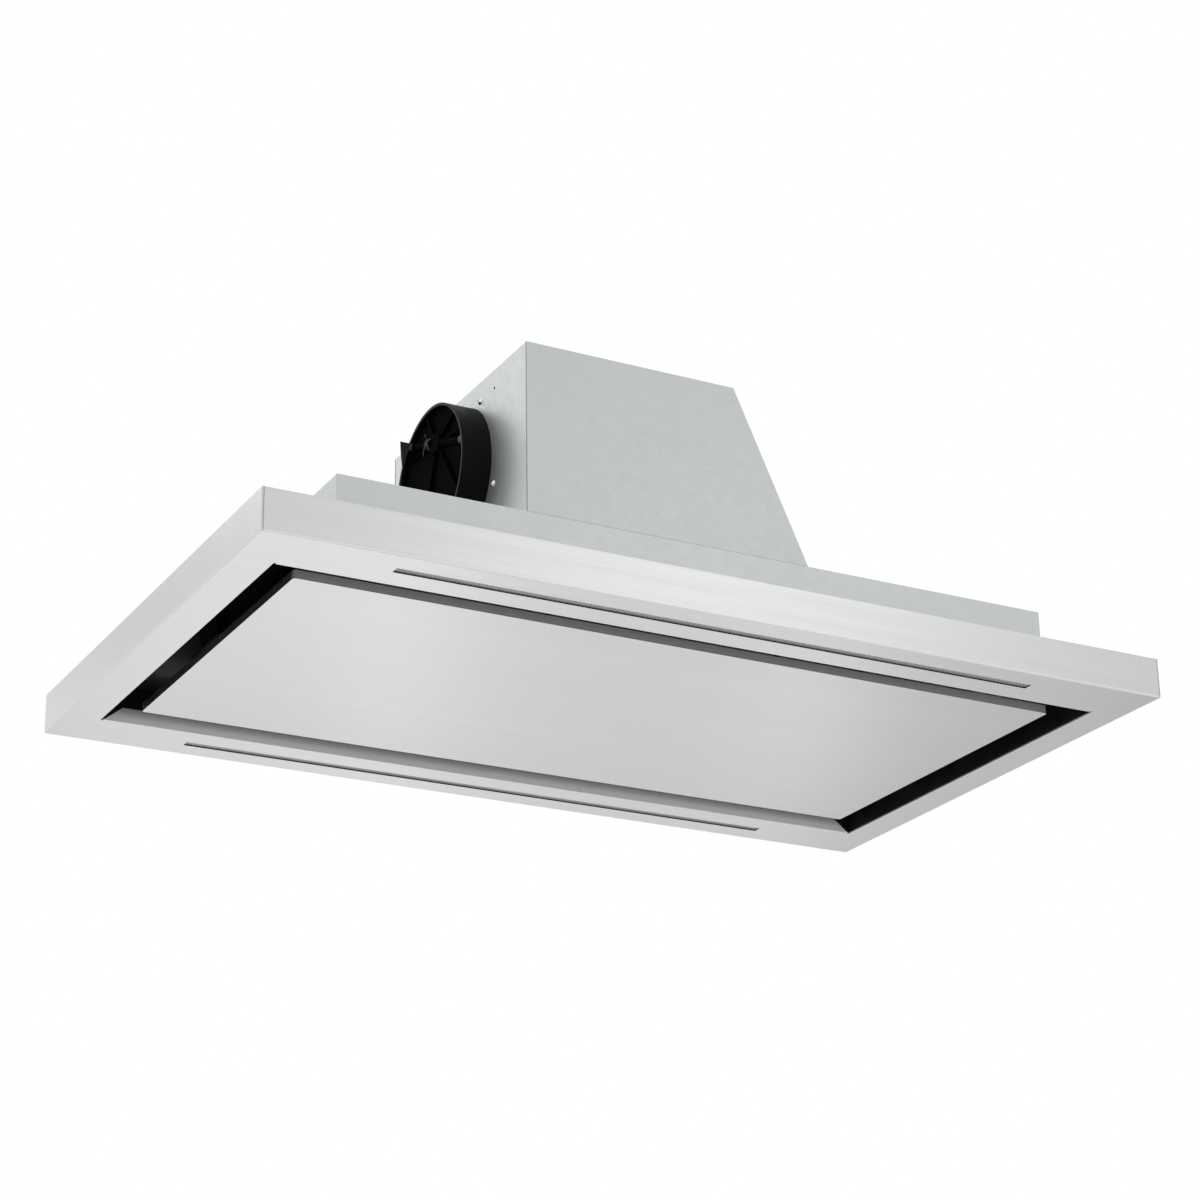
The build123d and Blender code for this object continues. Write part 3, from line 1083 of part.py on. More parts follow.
def motor_bracket():
    """The three-armed bracket that carries the motor from the scroll's far side."""
    bracket = rod_y(SPIDER_DISC_RADIUS, WHEEL_X, (MOTOR_FAR, MOTOR_FAR + SPIDER_SHEET), WHEEL_Z)
    tab_face = SCROLL_FAR + 2 * ZINC_SHEET
    throat = INLET_RADIUS - ZINC_SHEET - 1
    for index in range(SPIDER_ARM_COUNT):
        turn = -30 - 360 * index / SPIDER_ARM_COUNT
        across = about(0, SPIDER_ARM_WIDTH)
        arm = slab((0, throat), (MOTOR_FAR, MOTOR_FAR + SPIDER_SHEET), across)
        arm += slab((throat - SPIDER_SHEET, throat), (MOTOR_FAR, tab_face + SPIDER_SHEET), across)
        tab_x = (throat - SPIDER_SHEET, INLET_FLANGE_RADIUS)
        arm += slab(tab_x, (tab_face, tab_face + SPIDER_SHEET), across)
        bracket += Pos(WHEEL_X, 0, WHEEL_Z) * Rot(0, turn, 0) * arm
    for x, z in spider_bolt_places():
        bracket -= rod_y(SCREW_RADIUS + HOLE_GAP, x, (MOTOR_FAR, MOTOR_FAR + SPIDER_SHEET), z)
    return bracket


def motor_bolt(x, z):
    seat = MOTOR_FAR + SPIDER_SHEET
    bolt = hex_screw(0, 0, 0)
    return Pos(x, seat, z) * Rot(-90, 0, 0) * bolt


# ---- Electrics ------------------------------------------------------------------------------
def electrics_box():
    """The galvanised box on the tray's top, open upwards, with inward ears for its lid."""
    outer = slab((BOX_LEFT, BOX_RIGHT), (BOX_NEAR, BOX_FAR), (BOX_BASE, BOX_TOP))
    inside_x = (BOX_LEFT + BOX_SHEET, BOX_RIGHT - BOX_SHEET)
    inside_y = (BOX_NEAR + BOX_SHEET, BOX_FAR - BOX_SHEET)
    box = outer - slab(inside_x, inside_y, (BOX_FLOOR, BOX_TOP))
    ear_z = (BOX_TOP - BOX_FLANGE_THICKNESS, BOX_TOP)
    for x, y in box_screw_places():
        box += slab(about(x, BOX_FLANGE), about(y, BOX_FLANGE), ear_z)
    for x, y in box_screw_places():
        box -= screw_hole(x, y, ear_z)
    wall = (BOX_RIGHT - BOX_SHEET, BOX_RIGHT)
    return box - rod_x(GLAND_NECK_RADIUS + HOLE_GAP, wall, GLAND_Y, GLAND_Z)


def box_screw_places():
    inset = BOX_SHEET + BOX_FLANGE / 2
    xs = (BOX_LEFT + inset, BOX_RIGHT - inset)
    ys = (BOX_NEAR + inset, BOX_FAR - inset)
    return [(x, y) for x in xs for y in ys]


def electrics_lid():
    """The flat lid with a short skirt round the box."""
    gap = SEAT_GAP
    outer_x = (BOX_LEFT - gap - BOX_SHEET, BOX_RIGHT + gap + BOX_SHEET)
    outer_y = (BOX_NEAR - gap - BOX_SHEET, BOX_FAR + gap + BOX_SHEET)
    lid = slab(outer_x, outer_y, (BOX_TOP - LID_SKIRT, BOX_TOP + BOX_SHEET))
    inside_x = (BOX_LEFT - gap, BOX_RIGHT + gap)
    inside_y = (BOX_NEAR - gap, BOX_FAR + gap)
    lid -= slab(inside_x, inside_y, (BOX_TOP - LID_SKIRT, BOX_TOP))
    for x, y in box_screw_places():
        lid -= screw_hole(x, y, (BOX_TOP, BOX_TOP + BOX_SHEET))
    return lid


def block_at(corner, size):
    """A block from its lowest corner and its size."""
    spans = [(low, low + length) for low, length in zip(corner, size)]
    return slab(*spans)


def control_board():
    """The control board on four spacers, with its transformer and relays."""
    left = BOX_LEFT + BOARD_INSET_X
    near = BOX_NEAR + BOARD_INSET_Y
    lift = BOX_FLOOR + SPACER_HEIGHT
    top = lift + BOARD_THICKNESS
    board = block_at((left, near, lift), (BOARD_LENGTH, BOARD_DEPTH, BOARD_THICKNESS))
    for x in (left + SPACER_INSET, left + BOARD_LENGTH - SPACER_INSET):
        for y in (near + SPACER_INSET, near + BOARD_DEPTH - SPACER_INSET):
            board += rod_z(SPACER_RADIUS, x, y, (BOX_FLOOR, lift))
    corner = (left + TRANSFORMER_INSET, near + TRANSFORMER_INSET, top)
    board += block_at(corner, TRANSFORMER_SIZE)
    for index in range(RELAY_COUNT):
        relay_left = left + RELAY_INSET_X + RELAY_PITCH * index
        board += block_at((relay_left, near + RELAY_INSET_Y, top), RELAY_SIZE)
    return board


def led_driver():
    """The lamps' supply, a moulded block beside the board."""
    left = BOX_LEFT + BOARD_INSET_X + BOARD_LENGTH + DRIVER_GAP
    block = block_at((left, BOX_NEAR + BOARD_INSET_Y, BOX_FLOOR), DRIVER_SIZE)
    return fillet(block.edges().filter_by(Axis.Z), DRIVER_CORNER_RADIUS)


def terminal_block():
    """Screw terminals in a row behind the gland."""
    length, depth, height = TERMINAL_SIZE
    slot_depth, slot_width, slot_height = TERMINAL_SLOT
    right = BOX_RIGHT - TERMINAL_GAP
    top = BOX_FLOOR + height
    block = block_at((right - length, GLAND_Y - depth / 2, BOX_FLOOR), TERMINAL_SIZE)
    slot_z = (BOX_FLOOR + TERMINAL_SLOT_RISE, BOX_FLOOR + TERMINAL_SLOT_RISE + slot_height)
    for index in range(TERMINAL_COUNT):
        y = GLAND_Y + (index - (TERMINAL_COUNT - 1) / 2) * TERMINAL_PITCH
        well_z = (top - TERMINAL_WELL_DEPTH, top)
        block -= rod_z(TERMINAL_WELL_RADIUS, right - length / 2, y, well_z)
        block -= slab((right - slot_depth, right), about(y, slot_width), slot_z)
    return block


def capacitor():
    """The motor's run capacitor, lying in its clip."""
    x_span = (CAPACITOR_X, CAPACITOR_X + CAPACITOR_LENGTH)
    return rod_x(CAPACITOR_RADIUS, x_span, CAPACITOR_Y, CAPACITOR_Z)


def capacitor_clip():
    """The sprung clip that holds the capacitor down on the box's floor."""
    span = about(CAPACITOR_X + CAPACITOR_LENGTH / 2, CLIP_WIDTH)
    inside = CAPACITOR_RADIUS + HOLE_GAP
    core = rod_x(inside, span, CAPACITOR_Y, CAPACITOR_Z)
    above_floor = (BOX_FLOOR, CAPACITOR_Z + 2 * CAPACITOR_RADIUS)
    clip = rod_x(inside + ZINC_SHEET, span, CAPACITOR_Y, CAPACITOR_Z)
    clip &= slab(span, about(CAPACITOR_Y, 4 * CAPACITOR_RADIUS), above_floor)
    clip -= slab(span, about(CAPACITOR_Y, CLIP_MOUTH), (CAPACITOR_Z, above_floor[1]))
    foot_z = (BOX_FLOOR, BOX_FLOOR + CLIP_FOOT_THICKNESS)
    clip += slab(span, about(CAPACITOR_Y, CLIP_FOOT), foot_z)
    return clip - core


def hexagon_x(x_span):
    """The gland's wrench flats between two coordinates along X."""
    blank = extrude(RegularPolygon(GLAND_WRENCH_SIZE / 2, 6, major_radius=False), x_span[1] - x_span[0])
    return Pos(x_span[0], GLAND_Y, GLAND_Z) * Rot(0, 90, 0) * blank


def cable_gland():
    """The moulded gland for the mains lead: a hexagon body and its clamping dome."""
    shoulder = BOX_RIGHT + GLAND_FLANGE
    inside = BOX_RIGHT - BOX_SHEET
    back = BOX_RIGHT + GLAND_OUTSIDE - GLAND_LENGTH
    dome = rod_x(GLAND_RADIUS, (shoulder, BOX_RIGHT + GLAND_OUTSIDE), GLAND_Y, GLAND_Z)
    end_edge = dome.edges().filter_by(GeomType.CIRCLE).sort_by(Axis.X)[-1]
    gland = fillet(end_edge, GLAND_EDGE_RADIUS)
    gland += hexagon_x((BOX_RIGHT, shoulder))
    gland += rod_x(GLAND_NECK_RADIUS, (back, shoulder), GLAND_Y, GLAND_Z)
    gland += hexagon_x((inside - GLAND_NUT, inside))
    return gland - rod_x(GLAND_BORE_RADIUS, (back, BOX_RIGHT + GLAND_OUTSIDE), GLAND_Y, GLAND_Z)


# ---- The whole hood -------------------------------------------------------------------------
SIDES = (("near", -1), ("far", 1))

os.makedirs("parts", exist_ok=True)

save("canopy_frame", canopy_frame())
save("inner_liner", inner_liner())
for name, side in SIDES:
    save(f"lamp_channel_{name}", lamp_channel(side))
    save(f"lamp_diffuser_{name}", lamp_diffuser(side))
    save(f"led_board_{name}", led_board(side))

save("perimeter_panel", perimeter_panel())
save("panel_stiffeners", *[panel_stiffener(side) for _, side in SIDES])
for name, side in SIDES:
    hinge_y = side * HINGE_Y
    save(f"hinge_arm_{name}", hinge_arm(hinge_y))
    save(f"hinge_bracket_{name}", hinge_bracket(hinge_y))
    save(f"hinge_pin_{name}", hinge_pin(hinge_y))
save("catch_strike", catch_strike())
save("strike_disc", strike_disc())
save("panel_catch", panel_catch())

for number, place in enumerate(filter_places(), start=1):
    save(f"filter_frame_{number}", filter_frame(place))
    save(f"filter_media_{number}", filter_media(place))
    save(f"filter_ring_{number}", filter_ring(place))

save("plenum_tray", plenum_tray())
save("hanger_plates", *[hanger_plate(x, y) for x, y in rod_places()])
sunk_screws = []
for x, y in canopy_screw_places():
    sunk_screws.append(sunk_screw(x, y) - Pos(x, y, CANOPY_HEIGHT) * cross_recess())
save("canopy_screws", *sunk_screws)
tray_seat = DECK_TOP + ZINC_SHEET
save("deck_screws", *[hex_screw(x, y, tray_seat) for x, y in tray_screw_places()])

save("housing_wrap", housing_wrap())
for name, side in SIDES:
    save(f"housing_cover_{name}", housing_cover(side))

save("outlet_collar", outlet_collar())
save("collar_screws", *[collar_screw(y, z) for y, z in collar_screw_places()])
save("damper_spindle", damper_spindle())
save("damper_flap", damper_flap())
save("damper_spring", damper_spring())

save("scroll_band", scroll_band())
for name, side in SIDES:
    save(f"scroll_side_{name}", scroll_side(side))
    save(f"inlet_ring_{name}", inlet_ring(side))
save("impeller", impeller())
save("motor_shaft", motor_shaft())
save("shaft_nut", shaft_nut())
save("motor_body", motor_body())
save("motor_bracket", motor_bracket())
save("motor_bolts", *[motor_bolt(x, z) for x, z in spider_bolt_places()])

save("electrics_box", electrics_box())
save("electrics_lid", electrics_lid())
save("electrics_screws", *[hex_screw(x, y, BOX_TOP + BOX_SHEET) for x, y in box_screw_places()])
save("control_board", control_board())
save("led_driver", led_driver())
save("terminal_block", terminal_block())
save("capacitor", capacitor())
save("capacitor_clip", capacitor_clip())
save("cable_gland", cable_gland())
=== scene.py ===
import bmesh
import bpy
import math
from mathutils import Matrix, Vector


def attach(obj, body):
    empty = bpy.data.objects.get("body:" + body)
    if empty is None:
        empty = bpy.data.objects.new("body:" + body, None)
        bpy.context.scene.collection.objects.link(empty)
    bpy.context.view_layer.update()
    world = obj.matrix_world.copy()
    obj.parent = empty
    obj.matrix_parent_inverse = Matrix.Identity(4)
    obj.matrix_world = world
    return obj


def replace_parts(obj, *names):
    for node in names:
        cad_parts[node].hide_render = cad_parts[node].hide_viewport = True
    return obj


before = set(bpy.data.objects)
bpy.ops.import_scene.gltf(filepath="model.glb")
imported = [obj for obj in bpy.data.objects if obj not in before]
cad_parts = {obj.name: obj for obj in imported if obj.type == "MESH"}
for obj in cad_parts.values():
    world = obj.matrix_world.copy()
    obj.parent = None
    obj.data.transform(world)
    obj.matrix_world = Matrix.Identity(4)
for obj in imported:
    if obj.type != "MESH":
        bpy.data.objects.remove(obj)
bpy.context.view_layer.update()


# ---- Canopy ------------------------------------------------------------------------------------
# The wide skirt and underside, folded from brushed stainless steel. Its corners are closed by a
# butt seam, ground flush, and the brushing runs along the hood.
def feed(tree, value, socket):
    """Gives a socket its value: another node's output, or a plain number or colour."""
    if isinstance(value, bpy.types.NodeSocket):
        tree.links.new(value, socket)
    else:
        socket.default_value = value


def add(tree, kind, **values):
    """A shader node, its settings by name and its inputs as a dictionary of sockets."""
    node = tree.nodes.new(kind)
    inputs = values.pop("inputs", {})
    for name, value in values.items():
        setattr(node, name, value)
    for name, value in inputs.items():
        feed(tree, value, node.inputs[name])
    return node


def maths(tree, operation, first, second=0.0):
    """The result of one sum, of sockets or plain numbers."""
    return add(tree, "ShaderNodeMath", operation=operation, inputs={0: first, 1: second}).outputs[0]


# The Mix node numbers its sockets by kind: the two that it mixes, and the result.
MIX_SOCKETS = {"FLOAT": (2, 3, 0), "VECTOR": (4, 5, 1), "RGBA": (6, 7, 2)}


def blend(tree, kind, factor, first, second):
    """The first value where the factor is 0, the second where it is 1."""
    low, high, result = MIX_SOCKETS[kind]
    node = add(tree, "ShaderNodeMix", data_type=kind, inputs={0: factor, low: first, high: second})
    return node.outputs[result]


def ramp(tree, value, start=0.0, end=1.0, low=0.0, high=1.0, interpolation="LINEAR"):
    """Takes a value between start and end to one between low and high, level beyond both."""
    node = add(tree, "ShaderNodeMapRange", interpolation_type=interpolation,
               inputs={"Value": value, "From Min": start, "From Max": end, "To Min": low,
                       "To Max": high})
    return node.outputs[0]


def noise(tree, place, scale, detail, roughness=0.5):
    node = add(tree, "ShaderNodeTexNoise",
               inputs={"Vector": place, "Scale": scale, "Detail": detail, "Roughness": roughness})
    return node.outputs["Fac"]


def bumped(tree, height, strength, distance):
    node = add(tree, "ShaderNodeBump",
               inputs={"Height": height, "Strength": strength, "Distance": distance})
    return node.outputs[0]


def new_group(name, inputs, outputs):
    """An empty shader group and the sockets at its ends. Inputs are {name: (kind, value)}."""
    group = bpy.data.node_groups.new(name, "ShaderNodeTree")
    for socket, (kind, value) in inputs.items():
        made = group.interface.new_socket(socket, in_out="INPUT", socket_type=kind)
        made.default_value = value
    for socket, kind in outputs.items():
        group.interface.new_socket(socket, in_out="OUTPUT", socket_type=kind)
    inside, outside = group.nodes.new("NodeGroupInput"), group.nodes.new("NodeGroupOutput")
    return group, inside.outputs, outside.inputs


def place_group(tree, group, **values):
    """A group in a material, its inputs by name with _ for a space."""
    node = tree.nodes.new("ShaderNodeGroup")
    node.node_tree = group
    for name, value in values.items():
        feed(tree, value, node.inputs[name.replace("_", " ")])
    return node


def new_material(name, roughness, metallic=1.0):
    material = bpy.data.materials.new(name)
    material.use_nodes = True
    shader = material.node_tree.nodes["Principled BSDF"]
    shader.inputs["Metallic"].default_value = metallic
    shader.inputs["Roughness"].default_value = roughness
    return material, material.node_tree, shader


def surfaced(tree, surface, shader):
    """Gives a shader the colour, the roughness and the normal that a placed group puts out."""
    feed(tree, surface.outputs["Color"], shader.inputs["Base Color"])
    feed(tree, surface.outputs["Roughness"], shader.inputs["Roughness"])
    feed(tree, surface.outputs["Normal"], shader.inputs["Normal"])


def dress(material, *names):
    """Puts a material on CAD pieces, by their names."""
    for name in names:
        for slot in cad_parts[name].material_slots:
            slot.material = material


FLOAT, COLOUR, VECTOR = "NodeSocketFloat", "NodeSocketColor", "NodeSocketVector"

# Brushing: long streaks along X on the flats, and along Z where the sheet faces along X.
END_FACE = 0.7  # how far a face's normal leans along X before it counts as an end
STREAKS_ALONG = (5.0, 900.0, 900.0)  # how finely the streaks change along X, Y and Z, per metre
STREAKS_UPRIGHT = (900.0, 500.0, 12.0)
BROAD_STREAKS = (0.3, 0.16, 0.16)  # the broad streaks' share of the fine ones' scale
BROAD_SHARE = 0.38
brushing, brush_in, brush_out = new_group(
    "brushed_streaks",
    {"Light": (COLOUR, (0.7, 0.7, 0.7, 1)), "Dark": (COLOUR, (0.5, 0.5, 0.5, 1)),
     "Roughness Low": (FLOAT, 0.3), "Roughness High": (FLOAT, 0.42), "Depth": (FLOAT, 0.05)},
    {"Color": COLOUR, "Roughness": FLOAT, "Normal": VECTOR},
)
brush_place = add(brushing, "ShaderNodeTexCoord").outputs
facing = add(brushing, "ShaderNodeSeparateXYZ", inputs={0: brush_place["Normal"]}).outputs
is_end = maths(brushing, "GREATER_THAN", maths(brushing, "ABSOLUTE", facing["X"]), END_FACE)
streak_scale = blend(brushing, "VECTOR", is_end, STREAKS_ALONG, STREAKS_UPRIGHT)
stretched = add(brushing, "ShaderNodeVectorMath", operation="MULTIPLY",
                inputs={0: brush_place["Object"], 1: streak_scale}).outputs[0]
broad_place = add(brushing, "ShaderNodeVectorMath", operation="MULTIPLY",
                  inputs={0: stretched, 1: BROAD_STREAKS}).outputs[0]
fine_streaks = noise(brushing, stretched, scale=1.0, detail=3.0, roughness=0.65)
broad_streaks = noise(brushing, broad_place, scale=1.0, detail=2.0)
streaks = blend(brushing, "FLOAT", BROAD_SHARE, fine_streaks, broad_streaks)
feed(brushing, blend(brushing, "RGBA", ramp(brushing, streaks, start=0.3, end=0.7),
                     brush_in["Dark"], brush_in["Light"]), brush_out["Color"])
feed(brushing, ramp(brushing, streaks, low=brush_in["Roughness High"],
                    high=brush_in["Roughness Low"]), brush_out["Roughness"])
feed(brushing, bumped(brushing, fine_streaks, brush_in["Depth"], distance=0.00004),
     brush_out["Normal"])

BRUSH_AXIS = (1.0, 0.0, 0.02)  # along the hood, tipped a little so as not to be lost on the ends
HIGHLIGHT_SPREAD = 0.7  # how far the brushing draws a reflection out across itself


def brushed_steel(name, light, dark, low, high, depth):
    """Brushed metal: streaks along the hood, up and down at its ends, and gloss across them."""
    material, tree, shader = new_material(name, high)
    surface = place_group(tree, brushing, Light=light, Dark=dark, Roughness_Low=low,
                          Roughness_High=high, Depth=depth)
    surfaced(tree, surface, shader)
    shader.inputs["Anisotropic"].default_value = HIGHLIGHT_SPREAD
    normal = add(tree, "ShaderNodeTexCoord").outputs["Normal"]
    across = add(tree, "ShaderNodeVectorMath", operation="CROSS_PRODUCT",
                 inputs={0: normal, 1: BRUSH_AXIS}).outputs[0]
    turned = add(tree, "ShaderNodeVectorTransform", vector_type="VECTOR", convert_from="OBJECT",
                 convert_to="WORLD", inputs={0: across})
    feed(tree, turned.outputs[0], shader.inputs["Tangent"])
    return material, tree, shader, surface


# A hairline where two sheets meet: a mask that is 1 at one coordinate and fades to each side.
seam, seam_in, seam_out = new_group(
    "seam_hairline",
    {"Along": (FLOAT, 0.0), "At": (FLOAT, 0.0), "Half Width": (FLOAT, 0.0006)},
    {"Mask": FLOAT},
)
away = maths(seam, "ABSOLUTE", maths(seam, "SUBTRACT", seam_in["Along"], seam_in["At"]))
feed(seam, ramp(seam, maths(seam, "DIVIDE", away, seam_in["Half Width"]), start=0.3, end=1.0,
                low=1.0, high=0.0, interpolation="SMOOTHSTEP"), seam_out["Mask"])


def hairline(tree, along, at, half_width):
    return place_group(tree, seam, Along=along, At=at, Half_Width=half_width).outputs["Mask"]


def axes_of(tree):
    """The place on the hood as separate X, Y and Z sockets, in metres."""
    place = add(tree, "ShaderNodeTexCoord").outputs["Object"]
    axes = add(tree, "ShaderNodeSeparateXYZ", inputs={0: place}).outputs
    return axes["X"], axes["Y"], axes["Z"]


def either_side(tree, value):
    """A coordinate without its sign, so that one test serves both sides of the hood."""
    return maths(tree, "ABSOLUTE", value)


def above(tree, value, limit):
    return maths(tree, "GREATER_THAN", value, limit)


def below(tree, value, limit):
    return maths(tree, "LESS_THAN", value, limit)


def between(tree, value, limits):
    return maths(tree, "MULTIPLY", above(tree, value, limits[0]), below(tree, value, limits[1]))


def all_of(tree, first, *masks):
    """1 where every mask is 1."""
    for mask in masks:
        first = maths(tree, "MULTIPLY", first, mask)
    return first


def any_of(tree, first, *masks):
    """1 where any mask is 1."""
    for mask in masks:
        first = maths(tree, "MAXIMUM", first, mask)
    return first


def scattering(tree, shader, mask, metallic):
    """Lowers Metallic where the mask is 1, so that the sheet scatters light and mirrors less."""
    feed(tree, ramp(tree, mask, low=1.0, high=metallic), shader.inputs["Metallic"])


canopy_steel, canopy, canopy_shader, canopy_surface = brushed_steel(
    "canopy_brushed_steel", light=(0.625, 0.625, 0.627, 1), dark=(0.595, 0.595, 0.597, 1),
    low=0.36, high=0.46, depth=0.2)
canopy_x, canopy_y, canopy_z = axes_of(canopy)
canopy_x, canopy_y = either_side(canopy, canopy_x), either_side(canopy, canopy_y)

# The butt seams at the four upright corners, and the laser-cut edges of the two lamp slots, whose
# dark oxide is taken to near black as painted shade inside the slots.
SEAM_DARK_AND_SLOT_SHADE = (0.03, 0.028, 0.025, 1)
BEND_X, BEND_Y, BEND_TOP = 0.4785, 0.2885, 0.0015
SEAM_X, SEAM_HALF_WIDTH, SEAM_STRENGTH = 0.4783, 0.0007, 0.5
SLOT_Y, SLOT_HALF_WIDTH, SLOT_HALF_LENGTH = 0.258, 0.00535, 0.3412
SLOT_WALL = (0.0001, 0.0011)  # the cut edge, within the sheet's thickness
corner_seam = all_of(canopy, hairline(canopy, canopy_x, SEAM_X, SEAM_HALF_WIDTH),
                     above(canopy, canopy_y, BEND_Y))
from_slot = maths(canopy, "ABSOLUTE", maths(canopy, "SUBTRACT", canopy_y, SLOT_Y))
# Painted shade: the slot walls' cut-edge oxide is darkened further, to stand for the shade in the
# slots.
cut_edge_oxide_and_shade = all_of(canopy, below(canopy, from_slot, SLOT_HALF_WIDTH),
                  below(canopy, canopy_x, SLOT_HALF_LENGTH), between(canopy, canopy_z, SLOT_WALL))
dark_seams_and_slot_shade = any_of(canopy, maths(canopy, "MULTIPLY", corner_seam, SEAM_STRENGTH), cut_edge_oxide_and_shade)

# Tones laid on by place to stand for light: the bend along the foot of the skirt is pale in the
# photograph, and each long lip of the mouth is pale at its fold and dull towards its top.
BEND_PALE, LIP_DULL = (0.92, 0.92, 0.92, 1), (0.20, 0.20, 0.20, 1)
LIP_X, LIP_Y, LIP_HEIGHTS = 0.46, 0.2265, (0.0009, 0.0330)
LIP_DULL_FROM, LIP_DULL_AT = 0.006, 0.020
at_edge = any_of(canopy, above(canopy, canopy_x, BEND_X), above(canopy, canopy_y, BEND_Y))
foot_bend = all_of(canopy, at_edge, below(canopy, canopy_z, BEND_TOP))
mouth_lip = all_of(canopy, below(canopy, canopy_y, LIP_Y),
                   between(canopy, canopy_z, LIP_HEIGHTS), below(canopy, canopy_x, LIP_X))
lip_dull = all_of(canopy, mouth_lip, ramp(canopy, canopy_z, LIP_DULL_FROM, LIP_DULL_AT))
pale_places = any_of(canopy, foot_bend, mouth_lip)
canopy_tone = canopy_surface.outputs["Color"]
for mask, tone in ((pale_places, BEND_PALE), (lip_dull, LIP_DULL), (dark_seams_and_slot_shade, SEAM_DARK_AND_SLOT_SHADE)):
    canopy_tone = blend(canopy, "RGBA", mask, canopy_tone, tone)
feed(canopy, canopy_tone, canopy_shader.inputs["Base Color"])
scattering(canopy, canopy_shader, pale_places, metallic=0.05)
dress(canopy_steel, "canopy_frame")


# ---- Lamps -------------------------------------------------------------------------------------
# Two long lamps over the slots: a drawn aluminium channel, a strip board with its chips, and a
# grey diffuser with slanting ribs that lies on the sheet, with painted shade in the valleys between
# its ribs.
aluminium, *_ = brushed_steel(
    "drawn_aluminium", light=(0.80, 0.80, 0.81, 1), dark=(0.68, 0.68, 0.69, 1),
    low=0.34, high=0.48, depth=0.3)
dress(aluminium, "lamp_channel_near", "lamp_channel_far")

# A moulded or painted skin: two colours mottled over the surface and a fine orange peel.
GLOSS_SPREAD = 0.06  # how far the grain moves the roughness to each side
skin, skin_in, skin_out = new_group(
    "mottled_skin",
    {"Light": (COLOUR, (0.5, 0.5, 0.5, 1)), "Dark": (COLOUR, (0.4, 0.4, 0.4, 1)),
     "Patch Scale": (FLOAT, 30.0), "Grain Scale": (FLOAT, 1500.0), "Roughness": (FLOAT, 0.5),
     "Grain Depth": (FLOAT, 0.3)},
    {"Color": COLOUR, "Roughness": FLOAT, "Normal": VECTOR},
)
skin_place = add(skin, "ShaderNodeTexCoord").outputs["Object"]
patches = noise(skin, skin_place, skin_in["Patch Scale"], detail=4.0, roughness=0.6)
feed(skin, blend(skin, "RGBA", ramp(skin, patches, start=0.35, end=0.65),
                 skin_in["Dark"], skin_in["Light"]), skin_out["Color"])
grain = noise(skin, skin_place, skin_in["Grain Scale"], detail=2.0)
shine = ramp(skin, grain, low=-GLOSS_SPREAD, high=GLOSS_SPREAD)
feed(skin, maths(skin, "ADD", shine, skin_in["Roughness"]), skin_out["Roughness"])
feed(skin, bumped(skin, grain, skin_in["Grain Depth"], distance=0.0001), skin_out["Normal"])


def skinned(name, light, dark, roughness, grain_scale=1500.0, grain_depth=0.3, patch_scale=30.0):
    """A moulded or painted material that isn't metal."""
    material, tree, shader = new_material(name, roughness, metallic=0.0)
    surface = place_group(tree, skin, Light=light, Dark=dark, Roughness=roughness,
                          Grain_Scale=grain_scale, Grain_Depth=grain_depth,
                          Patch_Scale=patch_scale)
    surfaced(tree, surface, shader)
    return material, tree, shader, surface


LENS_LENGTH, LENS_WIDTH = 0.6845, 0.0130
LENS_BOTTOM, LENS_TOP = 0.00122, 0.0032
RIB_PITCH, RIB_DEPTH = 0.0040, 0.0007
RIB_WAVE = (0.0, 0.35, 1.0, 0.35)  # height within the rib, from crest to valley and back
# Painted shade in the rib valleys: its dark, and the wave's levels between which it deepens.
RIB_VALLEY_SHADE = (0.27, 0.27, 0.27, 1)
VALLEY_SHADE_FROM, VALLEY_SHADE_TO = -0.5, 0.6  # the wave's levels between which a rib's stripe darkens
WELD_DISTANCE = 0.00001

lens_grey, lens, lens_shader, lens_surface = skinned(
    "ribbed_diffuser", light=(0.50, 0.50, 0.50, 1), dark=(0.44, 0.44, 0.44, 1), roughness=0.30,
    patch_scale=60.0)
lens_x, lens_y, _ = axes_of(lens)
# Painted shade: slanting stripes darken the valleys between the ribs, as if in shadow.
slant = maths(lens, "MULTIPLY", maths(lens, "SUBTRACT", lens_x, lens_y), 2 * math.pi / RIB_PITCH)
valley_shade = ramp(lens, maths(lens, "SINE", slant), VALLEY_SHADE_FROM, VALLEY_SHADE_TO)
feed(lens, blend(lens, "RGBA", valley_shade, lens_surface.outputs["Color"], RIB_VALLEY_SHADE),
     lens_shader.inputs["Base Color"])


